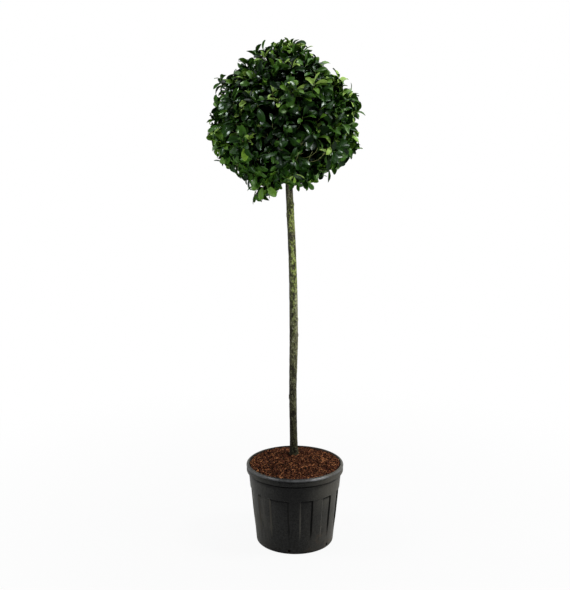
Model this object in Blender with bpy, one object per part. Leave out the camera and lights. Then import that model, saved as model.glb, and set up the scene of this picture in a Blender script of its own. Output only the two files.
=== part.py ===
"""Potted cherry laurel grown as a standard: a clipped ball of glossy leaves on one clear stem.

Metres, +Z up. The origin is the centre of the pot's flat underside.
The front of the plant faces -Y and its right side is +X.
"""
import math
import random
from dataclasses import dataclass, field

import bmesh
import bpy
from mathutils import Matrix, Vector

# Pot: a round ribbed container with a thick rolled rim
POT_HEIGHT = 0.301
RIM_RADIUS = 0.180
RIM_DEPTH = 0.029
RIM_INNER_RADIUS = 0.170
LIP_ROUNDING = 0.005
WALL_FOOT_RADIUS = 0.1428
WALL_SLOPE = 0.0926
WALL_THICKNESS = 0.0028
FOOT_ROUNDING = 0.0062
BAND_BOTTOM = 0.2155
BAND_STEP = 0.0016
RIB_RAISE = 0.0019
RIB_FIRST_ANGLE = -91.2
RIB_PITCH = 33.25
RIBS_PER_HALF = 5
RIB_HALF_WIDTH = 8.0
RIB_FLANK = 1.6
RIB_FADE_TOP = 0.115
RIB_FADE_BOTTOM = 0.030
RIB_STEPS = 3
PANEL_COLUMN = 8.0
NOTCH_TURN = -10.0
NOTCH_WIDTH = 0.009
NOTCH_HEIGHT = 0.006
NOTCH_DEPTH = 0.012

# Compost filling the pot, heaped a little round the stem
COMPOST_EDGE_Z = 0.294
COMPOST_CROWN_Z = 0.311
COMPOST_PLATEAU = 0.034
COMPOST_RINGS = (0.72, 0.38, 0.0)
CLEARANCE = 0.0003

# Stem: (height above the compost, x, y, radius) where its course or its girth changes
STEM_COURSE = (
    (0.000, -0.0030, 0.0450, 0.0138),
    (0.250, -0.0072, 0.0440, 0.0134),
    (0.455, -0.0050, 0.0425, 0.0146),
    (0.720, -0.0084, 0.0402, 0.0134),
    (0.980, -0.0205, 0.0372, 0.0120),
    (1.150, -0.0285, 0.0352, 0.0086),
    (1.255, -0.0300, 0.0350, 0.0046),
)
STEM_RINGS = 30
STEM_RING_CROWDING = 1.25
STEM_SIDES = 12
FLARE_SPREAD = 0.0042
FLARE_HEIGHT = 0.022
FLARE_LOBES = 5
FLARE_LOBE_DEPTH = 0.10
FOOT_TRIM = 0.002

# Crown outline: an upright egg about its widest level, with longer sprays and notches
CROWN_CENTRE = Vector((-0.038, 0.032, 1.490))
CROWN_RADIUS = 0.252
CROWN_RISE = 0.308
CROWN_DROP = 0.172
# (azimuth, elevation, extra reach, spread in degrees), azimuth 0 being +X
CROWN_SPRAYS = (
    (0.0, 86.0, 0.036, 9.0),
    (180.0, 76.0, 0.018, 8.0),
    (180.0, 41.0, 0.043, 8.0),
    (180.0, 8.0, 0.026, 6.0),
    (180.0, -17.0, 0.032, 7.0),
    (180.0, -66.0, 0.082, 11.0),
    (0.0, 31.0, 0.036, 8.0),
    (0.0, 19.0, 0.026, 6.0),
    (0.0, -4.0, 0.028, 6.0),
    (0.0, -14.0, 0.020, 5.0),
    (0.0, -48.0, 0.012, 8.0),
    (-62.0, 48.0, 0.022, 9.0),
    (-118.0, -8.0, 0.020, 9.0),
    (-80.0, -40.0, 0.018, 9.0),
    (58.0, 52.0, 0.024, 9.0),
    (96.0, 12.0, 0.026, 9.0),
    (132.0, -22.0, 0.022, 9.0),
    (75.0, -58.0, 0.024, 9.0),
    (0.0, 11.0, -0.016, 4.0),
    (0.0, -25.0, -0.016, 5.0),
    (0.0, 61.0, -0.012, 6.0),
)

# Limbs: the heart is the point on the stem that they radiate from
HEART_HEIGHT = 1.500
LIMB_ZONE = 0.070
STEM_ZONE = 0.026
LIMB_SIDES = 6
LIMB_RINGS = 5
LIMB_SAG = 0.006
# (name, count, first azimuth, elevation, its stagger, start heights, base radius, tip radius)
RINGS = (
    ("lower", 6, -80.0, -13.0, 9.0, (1.392, 1.420), 0.0060, 0.0042),
    ("upper", 5, -104.0, 34.0, 9.0, (1.462, 1.486), 0.0052, 0.0038),
)
TOP_STEM_RADIUS = 0.0036
SITE_SHARE = 0.66

# Foliage: each mass keeps to its own cell of the crown, about a smaller core
CELL_GAP = 0.004
CORE_SHARE = 0.74
CORE_MIDDLE = 0.54
CORE_ROUNDING = 0.93
CORE_MARGIN = 0.003
CORE_LIMIT = 0.13
MASS_STEM_LENGTH = 0.030
FORK_SHARE = 0.42
FORK_THINNING = 0.8
JOINT_OVERLAP = 0.001
TWIG_SIDES = 3
TWIG_RADIUS = 0.0030
TWIG_TIP_RADIUS = 0.0016
SHOOT_COUNT = 98
SHOOT_SPACING = 9.0
SHOOT_TIP_DEPTH = 0.046
SHOOT_DEPTH_SPREAD = (0.9, 1.2)
SHOOT_ROOM = 0.012
UPPER_SHARE = 0.60
LEAVES_PER_SHOOT = 6
LEAF_FIRST = 0.003
LEAF_STEP = 0.0042
LEAF_LENGTH = 0.062
LEAF_WIDTH = 0.030
LEAF_THICKNESS = 0.0018
LEAF_WAIST = 0.56
LEAF_ARCH = 0.006
LEAF_ROOM = 0.0015
LEAF_LEAN = (20.0, 76.0)
LEAF_LEAN_TRIES = (0.0, 12.0, -12.0, 24.0, -24.0, 36.0)
GOLDEN_TURN = math.radians(137.508)
SEED = 7

COLOURS = {
    "pot": ((0.030, 0.032, 0.033), 0.45),
    "compost": ((0.115, 0.045, 0.022), 0.95),
    "stem": ((0.060, 0.065, 0.030), 0.85),
    "bough": ((0.070, 0.060, 0.030), 0.80),
    "foliage": ((0.018, 0.075, 0.012), 0.35),
}


def material(name):
    colour, roughness = COLOURS[name]
    made = bpy.data.materials.get(name)
    if made is None:
        made = bpy.data.materials.new(name)
        made.use_nodes = True
        shader = made.node_tree.nodes["Principled BSDF"]
        shader.inputs["Base Color"].default_value = (*colour, 1.0)
        shader.inputs["Roughness"].default_value = roughness
        shader.inputs["Metallic"].default_value = 0.0
    return made


def mesh_object(name, bm, look, smooth_angle=None):
    mesh = bpy.data.meshes.new(name)
    bmesh.ops.recalc_face_normals(bm, faces=bm.faces)
    bm.to_mesh(mesh)
    bm.free()
    if smooth_angle is not None:
        mesh.shade_smooth()
        mesh.set_sharp_from_angle(angle=math.radians(smooth_angle))
    made = bpy.data.objects.new(name, mesh)
    mesh.materials.append(material(look))
    bpy.context.collection.objects.link(made)
    return made


def as_cutter(made):
    made.hide_render = True
    made.display_type = "WIRE"
    return made


def apply_boolean(made, operation, operand=None, collection=None):
    """Apply one exact Boolean to an object, against an object or a collection."""
    modifier = made.modifiers.new("Join", "BOOLEAN")
    modifier.operation = operation
    modifier.solver = "EXACT"
    if collection is None:
        modifier.object = operand
    else:
        modifier.operand_type = "COLLECTION"
        modifier.collection = collection
    graph = bpy.context.evaluated_depsgraph_get()
    joined = bpy.data.meshes.new_from_object(made.evaluated_get(graph))
    made.modifiers.clear()
    spare = made.data
    made.data = joined
    bpy.data.meshes.remove(spare)


UP = Vector((0.0, 0.0, 1.0))


def unit(azimuth, elevation):
    """Direction from an azimuth (0 is +X) and an elevation, both in degrees."""
    turn = math.radians(azimuth)
    rise = math.radians(elevation)
    return Vector((math.cos(turn) * math.cos(rise), math.sin(turn) * math.cos(rise), math.sin(rise)))


def smooth_step(value):
    value = min(1.0, max(0.0, value))
    return value * value * (3.0 - 2.0 * value)


# Pot and compost


def wall_radius(z):
    """Outer radius of the plain wall between the ribs."""
    return WALL_FOOT_RADIUS + WALL_SLOPE * z


def rib_angles():
    """Middles of the ribs: two halves alike, each with one wider plain panel."""
    return [RIB_FIRST_ANGLE + half + RIB_PITCH * k for half in (0.0, 180.0) for k in range(RIBS_PER_HALF)]


def pot_columns():
    """Angles of the pot's columns of points, each with 1 on a rib and 0 beside it."""
    middles = rib_angles()
    columns = []
    for index, middle in enumerate(middles):
        after = middles[(index + 1) % len(middles)]
        if after < middle:
            after += 360.0
        columns.append((middle - RIB_HALF_WIDTH, 0.0))
        columns.append((middle - RIB_HALF_WIDTH + RIB_FLANK, 1.0))
        columns.append((middle + RIB_HALF_WIDTH - RIB_FLANK, 1.0))
        columns.append((middle + RIB_HALF_WIDTH, 0.0))
        start = middle + RIB_HALF_WIDTH
        stretch = after - RIB_HALF_WIDTH - start
        steps = max(2, round(stretch / PANEL_COLUMN))
        for step in range(1, steps):
            columns.append((start + stretch * step / steps, 0.0))
    return columns


def rib_share(z):
    """How far a rib stands out at a height: whole above, faded away near the foot."""
    return smooth_step((z - RIB_FADE_BOTTOM) / (RIB_FADE_TOP - RIB_FADE_BOTTOM))


def pot_profile():
    """(radius, height, rib share) down the outside, from the lip's inner edge to the foot."""
    lip = POT_HEIGHT - RIM_DEPTH
    band_top = lip - LIP_ROUNDING
    profile = [
        (RIM_INNER_RADIUS - 0.15 * LIP_ROUNDING, POT_HEIGHT - LIP_ROUNDING, 0.0),
        (RIM_INNER_RADIUS + 0.25 * LIP_ROUNDING, POT_HEIGHT - 0.25 * LIP_ROUNDING, 0.0),
        (RIM_INNER_RADIUS + LIP_ROUNDING, POT_HEIGHT, 0.0),
        (RIM_RADIUS - 0.5 * LIP_ROUNDING, POT_HEIGHT - 0.25 * LIP_ROUNDING, 0.0),
        (RIM_RADIUS, POT_HEIGHT - LIP_ROUNDING, 0.0),
        (RIM_RADIUS, lip + 0.5 * LIP_ROUNDING, 0.0),
        (RIM_RADIUS - 0.5 * LIP_ROUNDING, lip, 0.0),
        (wall_radius(band_top) + RIB_RAISE, band_top, 0.0),
        (wall_radius(BAND_BOTTOM) + RIB_RAISE, BAND_BOTTOM, 0.0),
    ]
    under_band = BAND_BOTTOM - BAND_STEP
    profile.append((wall_radius(under_band), under_band, 1.0))
    for step in range(RIB_STEPS + 1):
        z = RIB_FADE_TOP + (RIB_FADE_BOTTOM - RIB_FADE_TOP) * step / RIB_STEPS
        profile.append((wall_radius(z), z, rib_share(z)))
    profile.append((wall_radius(FOOT_ROUNDING), FOOT_ROUNDING, 0.0))
    profile.append((wall_radius(0.0) - 0.3 * FOOT_ROUNDING, 0.3 * FOOT_ROUNDING, 0.0))
    profile.append((wall_radius(0.0) - FOOT_ROUNDING, 0.0, 0.0))
    return profile


def inner_radius(z):
    return wall_radius(z) - WALL_THICKNESS


def lathe(bm, rings, angles):
    """Closed body of turned rings: each ring is a list of (radius, height), one a column."""
    made = []
    for ring in rings:
        row = []
        for (radius, z), angle in zip(ring, angles):
            turn = math.radians(angle)
            row.append(bm.verts.new((radius * math.cos(turn), radius * math.sin(turn), z)))
        made.append(row)
    count = len(angles)
    for upper, lower in zip(made, made[1:]):
        for k in range(count):
            after = (k + 1) % count
            bm.faces.new((upper[k], upper[after], lower[after], lower[k]))
    return made


def cap(bm, ring, z):
    middle = bm.verts.new((0.0, 0.0, z))
    for k, vert in enumerate(ring):
        bm.faces.new((vert, ring[(k + 1) % len(ring)], middle))


def make_pot():
    columns = pot_columns()
    angles = [angle for angle, _ in columns]
    rings = [[(inner_radius(WALL_THICKNESS), WALL_THICKNESS)] * len(angles)]
    for radius, z, share in pot_profile():
        rings.append([(radius + RIB_RAISE * share * on_rib, z) for _, on_rib in columns])
    bm = bmesh.new()
    made = lathe(bm, rings, angles)
    cap(bm, made[0], WALL_THICKNESS)
    cap(bm, made[-1], 0.0)
    pot = mesh_object("pot", bm, "pot", 30.0)
    for middle in rib_angles()[::2]:
        turn = math.radians(middle + NOTCH_TURN)
        bm = bmesh.new()
        size = Matrix.Diagonal((2.0 * NOTCH_DEPTH, NOTCH_WIDTH, 2.0 * NOTCH_HEIGHT, 1.0))
        reach = Matrix.Translation((wall_radius(0.0), 0.0, 0.0))
        bmesh.ops.create_cube(bm, size=1.0, matrix=Matrix.Rotation(turn, 4, "Z") @ reach @ size)
        cutter = as_cutter(mesh_object("notch_cutter", bm, "pot"))
        apply_boolean(pot, "DIFFERENCE", operand=cutter)
        bpy.data.objects.remove(cutter)


def compost_height(share):
    """Height of the compost from its plateau round the stem (0) to the pot's wall (1)."""
    return COMPOST_CROWN_Z + (COMPOST_EDGE_Z - COMPOST_CROWN_Z) * smooth_step(share)


def make_compost():
    angles = [angle for angle, _ in pot_columns()]
    floor = WALL_THICKNESS + CLEARANCE
    foot = Vector((*STEM_COURSE[0][1:3], 0.0))
    outer = []
    for z in (floor, COMPOST_EDGE_Z):
        outer.append([(inner_radius(z) - CLEARANCE, z)] * len(angles))
    bm = bmesh.new()
    made = lathe(bm, outer, angles)
    cap(bm, made[0], floor)
    rim = made[-1]
    for share in COMPOST_RINGS:
        ring = []
        for vert, angle in zip(made[-1], angles):
            near = foot + unit(angle, 0.0) * COMPOST_PLATEAU
            place = near.lerp(vert.co, share)
            place.z = compost_height(share)
            ring.append(bm.verts.new(place))
        for k in range(len(angles)):
            after = (k + 1) % len(angles)
            bm.faces.new((rim[k], rim[after], ring[after], ring[k]))
        rim = ring
    bm.faces.new(rim)
    mesh_object("compost", bm, "compost", 30.0)


# Stem and boughs


def tube(bm, points, radii, sides, lobes=None):
    """Closed tapering tube along points, with flat ends square to its course."""
    count = len(points)
    courses = [points[min(k + 1, count - 1)] - points[max(k - 1, 0)] for k in range(count)]
    across = courses[0].orthogonal().normalized()
    rings = []
    for index, (point, radius, course) in enumerate(zip(points, radii, courses)):
        along = course.normalized()
        across = (across - along * across.dot(along)).normalized()
        beside = along.cross(across)
        ring = []
        for k in range(sides):
            turn = 2.0 * math.pi * k / sides
            swell = 1.0 if lobes is None else lobes(index, turn)
            spoke = across * math.cos(turn) + beside * math.sin(turn)
            ring.append(bm.verts.new(point + spoke * radius * swell))
        rings.append(ring)
    for lower, upper in zip(rings, rings[1:]):
        for k in range(sides):
            after = (k + 1) % sides
            bm.faces.new((lower[k], lower[after], upper[after], upper[k]))
    bm.faces.new(tuple(reversed(rings[0])))
    bm.faces.new(rings[-1])


def stem_at(z):
    """Middle of the stem and its radius at a world height, read smoothly from its course."""
    height = z - COMPOST_CROWN_Z - CLEARANCE
    course = STEM_COURSE
    height = min(course[-1][0], max(course[0][0], height))
    k = max(i for i in range(len(course) - 1) if course[i][0] <= height)
    before, start = course[max(k - 1, 0)], course[k]
    end, beyond = course[k + 1], course[min(k + 2, len(course) - 1)]
    step = end[0] - start[0]
    share = (height - start[0]) / step
    values = []
    for axis in (1, 2, 3):
        slope_in = (end[axis] - before[axis]) / (end[0] - before[0]) * step
        slope_out = (beyond[axis] - start[axis]) / (beyond[0] - start[0]) * step
        a = 2.0 * start[axis] - 2.0 * end[axis] + slope_in + slope_out
        b = -3.0 * start[axis] + 3.0 * end[axis] - 2.0 * slope_in - slope_out
        values.append(((a * share + b) * share + slope_in) * share + start[axis])
    return Vector((values[0], values[1], z)), values[2]


def stem_tip_z():
    return COMPOST_CROWN_Z + CLEARANCE + STEM_COURSE[-1][0]


def stem_body(bm, swell=0.0):
    """The stem's tube. swell thickens it for cutting the boughs clear of it."""
    foot = COMPOST_CROWN_Z + CLEARANCE
    length = STEM_COURSE[-1][0]
    heights = [length * (k / (STEM_RINGS - 1)) ** STEM_RING_CROWDING for k in range(STEM_RINGS)]
    points = []
    radii = []
    for height in heights:
        middle, radius = stem_at(foot + height)
        points.append(middle)
        radii.append(radius + FLARE_SPREAD * math.exp(-height / FLARE_HEIGHT) + swell)

    def lobes(index, turn):
        fade = math.exp(-heights[index] / FLARE_HEIGHT)
        return 1.0 + FLARE_LOBE_DEPTH * fade * math.cos(FLARE_LOBES * turn)

    tube(bm, points, radii, STEM_SIDES, lobes)
    for vert in bm.verts:
        if vert.co.z < foot + FOOT_TRIM:
            vert.co.z = foot


def make_stem():
    bm = bmesh.new()
    stem_body(bm)
    mesh_object("trunk", bm, "stem", 40.0)


def heart():
    return stem_at(HEART_HEIGHT)[0]


def limb_course(azimuth, elevation, start_height):
    """A bough's middle line, from inside the stem up and out to where its mass begins."""
    start = stem_at(start_height)[0]
    end = heart() + unit(azimuth, elevation) * LIMB_ZONE
    bend = start.lerp(end, 0.5) + (unit(azimuth, 0.0) - UP) * LIMB_SAG
    points = []
    for k in range(LIMB_RINGS):
        share = k / (LIMB_RINGS - 1)
        points.append(start * (1.0 - share) ** 2 + bend * 2.0 * share * (1.0 - share) + end * share ** 2)
    return points


def ring_members():
    """Every bough with its mass: (name, azimuth, elevation, start height, base and tip radius)."""
    members = []
    for name, count, first, elevation, stagger, (low, high), base, tip in RINGS:
        for k in range(count):
            start = low + (high - low) * ((k * 2) % count) / (count - 1)
            rise = elevation + stagger * math.cos(math.pi * k)
            members.append((f"{name}_{k + 1}", first + 360.0 * k / count, rise, start, base, tip))
    return members


def make_boughs():
    bm = bmesh.new()
    stem_body(bm, CLEARANCE)
    cutter = as_cutter(mesh_object("stem_cutter", bm, "stem"))
    for name, azimuth, elevation, start, base, tip in ring_members():
        points = limb_course(azimuth, elevation, start)
        radii = [base + (tip - base) * k / (LIMB_RINGS - 1) for k in range(LIMB_RINGS)]
        bm = bmesh.new()
        tube(bm, points, radii, LIMB_SIDES)
        bough = mesh_object(f"bough_{name}", bm, "bough", 40.0)
        apply_boolean(bough, "DIFFERENCE", operand=cutter)
    bpy.data.objects.remove(cutter)


# Crown outline and the cells of the masses


def crown_reach(direction):
    """Distance from the crown's centre to its outline along a direction."""
    flat = math.hypot(direction.x, direction.y) / CROWN_RADIUS
    tall = direction.z / (CROWN_RISE if direction.z > 0.0 else CROWN_DROP)
    reach = 1.0 / math.hypot(flat, tall)
    for azimuth, elevation, extra, spread in CROWN_SPRAYS:
        away = math.degrees(direction.angle(unit(azimuth, elevation)))
        reach += extra * math.exp(-0.5 * (away / spread) ** 2)
    return reach


def crown_share(point):
    """How far out a point lies: 0 at the crown's centre and 1 on its outline."""
    offset = point - CROWN_CENTRE
    return offset.length / crown_reach(offset.normalized())


@dataclass
class Cell:
    """One mass's own space: a convex cell of the crown, where its stem enters, and its sides."""

    name: str
    out: Vector
    entry: Vector
    along: Vector
    stem_radius: float
    site: Vector = None
    sides: list = field(default_factory=list)

    def add_side(self, point, normal, gap=0.0):
        """Bound the cell by a plane: its normal points out, and the gap is kept inside it."""
        self.sides.append((point, normal, gap))

    def room(self, point):
        """Distance from a point to the cell's nearest side, negative outside."""
        return min((edge - point).dot(normal) - gap for edge, normal, gap in self.sides)

    def room_along(self, start, direction, limit):
        """How far the cell goes from a point inside it along a direction, up to a limit."""
        for edge, normal, gap in self.sides:
            closing = direction.dot(normal)
            if closing > 1e-6:
                limit = min(limit, ((edge - start).dot(normal) - gap) / closing)
        return limit

    def pull_in(self, point, room):
        """Move a point until it has this much room on all sides."""
        for _ in range(20):
            edge, normal, gap = min(self.sides, key=lambda side: (side[0] - point).dot(side[1]) - side[2])
            short = room + gap - (edge - point).dot(normal)
            if short <= 0.0:
                break
            point = point - normal * short
        return point


def make_cells():
    """Share the crown out: each cell lies nearer to its own site than to any other."""
    middle = heart()
    cells = []
    for name, azimuth, elevation, start, _, tip_radius in ring_members():
        course = limb_course(azimuth, elevation, start)
        along = (course[-1] - course[-2]).normalized()
        cell = Cell(f"foliage_{name}", unit(azimuth, elevation), course[-1], along, tip_radius)
        cell.add_side(middle + cell.out * LIMB_ZONE, -cell.out)
        cell.add_side(middle + unit(azimuth, 0.0) * STEM_ZONE, -unit(azimuth, 0.0))
        cells.append(cell)
    top = Cell("foliage_top", UP, stem_at(stem_tip_z())[0], UP, TOP_STEM_RADIUS)
    top.add_side(top.entry, -UP)
    cells.append(top)
    for cell in cells:
        cell.site = CROWN_CENTRE + cell.out * crown_reach(cell.out) * SITE_SHARE
    for cell in cells:
        for other in cells:
            if other is not cell:
                apart = other.site - cell.site
                cell.add_side(cell.site + apart * 0.5, apart.normalized(), 0.5 * CELL_GAP)
    return cells


# Foliage


def add_core(cell):
    """The mass's inner body: it fills the cell out to a share of the crown's outline."""
    bm = bmesh.new()
    bmesh.ops.create_icosphere(bm, subdivisions=2, radius=1.0)
    middle = CROWN_CENTRE + cell.out * crown_reach(cell.out) * CORE_MIDDLE
    for vert in bm.verts:
        direction = vert.co.normalized()
        low = 0.0
        high = cell.room_along(middle, direction, CORE_LIMIT) - CORE_MARGIN
        for _ in range(12):
            half = 0.5 * (low + high)
            if crown_share(middle + direction * half) < CORE_SHARE:
                low = half
            else:
                high = half
        vert.co = middle + direction * low * CORE_ROUNDING
    return mesh_object(cell.name, bm, "foliage")


def add_loose(collection, bm):
    """Put a twig or leaf where the union will find it."""
    bmesh.ops.recalc_face_normals(bm, faces=bm.faces)
    mesh = bpy.data.meshes.new("sprig")
    bm.to_mesh(mesh)
    bm.free()
    collection.objects.link(bpy.data.objects.new("sprig", mesh))


def add_twig(collection, start, end, radius, tip_radius):
    bm = bmesh.new()
    tube(bm, [start, end], [radius, tip_radius], TWIG_SIDES)
    add_loose(collection, bm)


def leaf_points(root, along, face_up):
    """Root, tip, two sides, upper and lower middle of an eight-faced arched leaf."""
    side = along.cross(face_up).normalized()
    lift = side.cross(along).normalized()
    waist = root + along * LEAF_LENGTH * LEAF_WAIST + lift * LEAF_ARCH
    return [
        root,
        root + along * LEAF_LENGTH,
        waist + side * LEAF_WIDTH * 0.5,
        waist - side * LEAF_WIDTH * 0.5,
        waist + lift * LEAF_THICKNESS * 0.5,
        waist - lift * LEAF_THICKNESS * 0.5,
    ]


def add_leaf(collection, points):
    bm = bmesh.new()
    root, tip, right, left, above, below = (bm.verts.new(point) for point in points)
    for crest in (above, below):
        bm.faces.new((root, right, crest))
        bm.faces.new((right, tip, crest))
        bm.faces.new((tip, left, crest))
        bm.faces.new((left, root, crest))
    add_loose(collection, bm)


def add_rosette(collection, cell, base, tip, chance):
    """Leaves turned round a shoot's end, each opened or folded until it fits, or else left out."""
    along = (tip - base).normalized()
    across = along.orthogonal().normalized()
    turn = chance.uniform(0.0, 2.0 * math.pi)
    for k in range(LEAVES_PER_SHOOT):
        turn += GOLDEN_TURN
        root = tip - along * (LEAF_FIRST + LEAF_STEP * k)
        spoke = Matrix.Rotation(turn, 3, along) @ across
        opening = LEAF_LEAN[0] + (LEAF_LEAN[1] - LEAF_LEAN[0]) * k / (LEAVES_PER_SHOOT - 1)
        for change in LEAF_LEAN_TRIES:
            lean = math.radians(opening + change)
            points = leaf_points(root, along * math.cos(lean) + spoke * math.sin(lean), along)
            if all(cell.room(point) > LEAF_ROOM and crown_share(point) < 1.0 for point in points[1:]):
                add_leaf(collection, points)
                break


def spread_split(tips):
    """Split shoot tips in two across their widest spread."""
    middle = sum(tips, Vector()) / len(tips)
    far = max(tips, key=lambda tip: (tip - middle).length)
    other = max(tips, key=lambda tip: (tip - far).length)
    axis = (other - far).normalized()
    ordered = sorted(tips, key=lambda tip: (tip - middle).dot(axis))
    half = len(ordered) // 2
    return ordered[:half], ordered[half:]


def grow(collection, cell, start, radius, tips, chance):
    """Fork from a stem until each twig serves one shoot tip, then leaf that tip."""
    if len(tips) == 1:
        add_twig(collection, start, tips[0], radius, TWIG_TIP_RADIUS)
        add_rosette(collection, cell, start, tips[0], chance)
        return
    middle = sum(tips, Vector()) / len(tips)
    fork = start.lerp(middle, FORK_SHARE)
    thinner = max(radius * FORK_THINNING, TWIG_TIP_RADIUS)
    add_twig(collection, start, fork, radius, thinner)
    root = fork - (fork - start).normalized() * JOINT_OVERLAP
    for part in spread_split(tips):
        grow(collection, cell, root, thinner, part, chance)


def even_directions():
    """Directions to the shoots: the longer sprays, and a spiral lattice in between."""
    sprays = [unit(azimuth, elevation) for azimuth, elevation, extra, _ in CROWN_SPRAYS if extra > 0.0]
    lattice = []
    for k in range(SHOOT_COUNT):
        rise = 1.0 - (k + 0.5) / SHOOT_COUNT / UPPER_SHARE
        if rise < 0.0:
            rise *= UPPER_SHARE / (1.0 - UPPER_SHARE)
        direction = unit(math.degrees(k * GOLDEN_TURN), math.degrees(math.asin(rise)))
        if min(direction.angle(spray) for spray in sprays) > math.radians(SHOOT_SPACING):
            lattice.append(direction)
    return sprays + lattice


def share_shoots(cells, chance):
    """Set the shoots' tips just inside the crown's outline and give each to its cell."""
    served = {cell.name: [] for cell in cells}
    for direction in even_directions():
        depth = SHOOT_TIP_DEPTH * chance.uniform(*SHOOT_DEPTH_SPREAD)
        tip = CROWN_CENTRE + direction * (crown_reach(direction) - depth)
        cell = max(cells, key=lambda each: each.room(tip))
        served[cell.name].append(cell.pull_in(tip, SHOOT_ROOM))
    return served


def drop_scraps(made):
    """Keep the largest connected piece and drop loose scraps and sealed hollows."""
    bm = bmesh.new()
    bm.from_mesh(made.data)
    bmesh.ops.triangulate(bm, faces=bm.faces)
    left = set(bm.verts)
    pieces = []
    while left:
        front = [left.pop()]
        piece = set(front)
        while front:
            vert = front.pop()
            for edge in vert.link_edges:
                other = edge.other_vert(vert)
                if other in left:
                    left.remove(other)
                    piece.add(other)
                    front.append(other)
        pieces.append(piece)
    largest = max(pieces, key=len)
    spare = [vert for piece in pieces if piece is not largest for vert in piece]
    bmesh.ops.delete(bm, geom=spare, context="VERTS")
    bm.to_mesh(made.data)
    bm.free()


def make_foliage():
    chance = random.Random(SEED)
    cells = make_cells()
    served = share_shoots(cells, chance)
    for cell in cells:
        collection = bpy.data.collections.new(cell.name)
        bpy.context.scene.collection.children.link(collection)
        core = add_core(cell)
        start = cell.entry + cell.along * CLEARANCE
        end = start + cell.along * MASS_STEM_LENGTH
        add_twig(collection, start, end, cell.stem_radius, TWIG_RADIUS)
        grow(collection, cell, end - cell.along * JOINT_OVERLAP, TWIG_RADIUS, served[cell.name], chance)
        apply_boolean(core, "UNION", collection=collection)
        for loose in list(collection.objects):
            bpy.data.objects.remove(loose)
        bpy.data.collections.remove(collection)
        drop_scraps(core)


def main():
    for made in list(bpy.data.objects):
        bpy.data.objects.remove(made)
    make_pot()
    make_compost()
    make_stem()
    make_boughs()
    make_foliage()


main()
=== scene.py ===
"""Looks of the potted cherry laurel: bark, leafy sprays, ribbed container and bark compost.

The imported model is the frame. Metres, +Z up, and the front of the plant faces -Y.
"""
import math
import random
from dataclasses import dataclass, field

import bpy
import numpy as np
from mathutils import Matrix, Vector


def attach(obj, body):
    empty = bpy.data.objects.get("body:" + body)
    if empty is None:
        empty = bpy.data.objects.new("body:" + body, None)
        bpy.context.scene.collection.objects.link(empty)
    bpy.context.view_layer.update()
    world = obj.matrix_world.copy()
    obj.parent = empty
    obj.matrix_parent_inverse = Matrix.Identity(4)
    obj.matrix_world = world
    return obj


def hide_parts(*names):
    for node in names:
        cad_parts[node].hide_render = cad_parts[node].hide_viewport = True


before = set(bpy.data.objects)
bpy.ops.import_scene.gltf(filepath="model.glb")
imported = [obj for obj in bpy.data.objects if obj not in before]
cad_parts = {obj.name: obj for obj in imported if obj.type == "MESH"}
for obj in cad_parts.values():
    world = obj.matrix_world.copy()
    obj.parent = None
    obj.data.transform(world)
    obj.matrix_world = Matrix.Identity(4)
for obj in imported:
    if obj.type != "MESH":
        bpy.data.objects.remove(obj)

bl_info = {
    "name": "Potted cherry laurel",
    "version": (1, 0, 0),
    "blender": (4, 5, 0),
    "location": "3D View > Sidebar > Laurel",
    "description": "Builds the looks of a clipped cherry laurel on a clear stem in its container",
    "category": "Object",
}

UP = Vector((0.0, 0.0, 1.0))
GOLDEN_TURN = math.radians(137.508)

# Stem: (height above the compost, x, y, radius) where its course or its girth changes
STEM_FOOT_Z = 0.3113
STEM_COURSE = (
    (0.0, -0.003, 0.045, 0.0143),
    (0.25, -0.0074, 0.044, 0.014),
    (0.455, -0.0046, 0.0425, 0.0156),
    (0.72, -0.009, 0.0402, 0.0144),
    (0.98, -0.021, 0.0372, 0.013),
    (1.15, -0.0285, 0.0352, 0.0092),
    (1.255, -0.03, 0.035, 0.0046),
)
FLARE_SPREAD = 0.0042
FLARE_HEIGHT = 0.022
STEM_SIDES = 48
BOUGH_SIDES = 20
# Old pruning scars: how many, their heights above the foot, and the swollen ring of each one's radius
SCARS = 13
SCAR_SEED = 5
SCAR_LOWEST = 0.07
SCAR_SPAN = 0.92
SCAR_RADII = (0.006, 0.0095)
SCAR_RING = 0.62
SCAR_SHARPNESS = 9.0

# Crown outline: an upright egg about its widest level, with longer sprays and notches
CROWN_CENTRE = Vector((-0.038, 0.032, 1.49))
CROWN_RADIUS = 0.252
CROWN_RISE = 0.308
CROWN_DROP = 0.172
# (azimuth, elevation, extra reach, spread in degrees), azimuth 0 being +X
CROWN_SPRAYS = (
    (0.0, 86.0, 0.036, 9.0),
    (180.0, 76.0, 0.018, 8.0),
    (180.0, 41.0, 0.043, 8.0),
    (180.0, 8.0, 0.034, 7.0),
    (180.0, -17.0, 0.032, 7.0),
    (180.0, -66.0, 0.082, 11.0),
    (0.0, 31.0, 0.036, 8.0),
    (0.0, 19.0, 0.026, 6.0),
    (0.0, -4.0, 0.028, 6.0),
    (0.0, -14.0, 0.02, 5.0),
    (0.0, -48.0, 0.012, 8.0),
    (-62.0, 48.0, 0.022, 9.0),
    (-118.0, -8.0, 0.02, 9.0),
    (-80.0, -40.0, 0.018, 9.0),
    (58.0, 52.0, 0.024, 9.0),
    (96.0, 12.0, 0.026, 9.0),
    (132.0, -22.0, 0.022, 9.0),
    (75.0, -58.0, 0.024, 9.0),
    (0.0, 10.0, -0.024, 5.0),
    (0.0, -25.0, -0.016, 5.0),
    (0.0, 61.0, -0.012, 6.0),
)

# Limbs: the heart is the point on the stem that they radiate from. The masses keep clear of it and
# of the stem by their zones.
HEART_HEIGHT = 1.5
LIMB_ZONE = 0.07
STEM_ZONE = 0.026
LIMB_SAG = 0.006
LIMB_RINGS = 24
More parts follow.
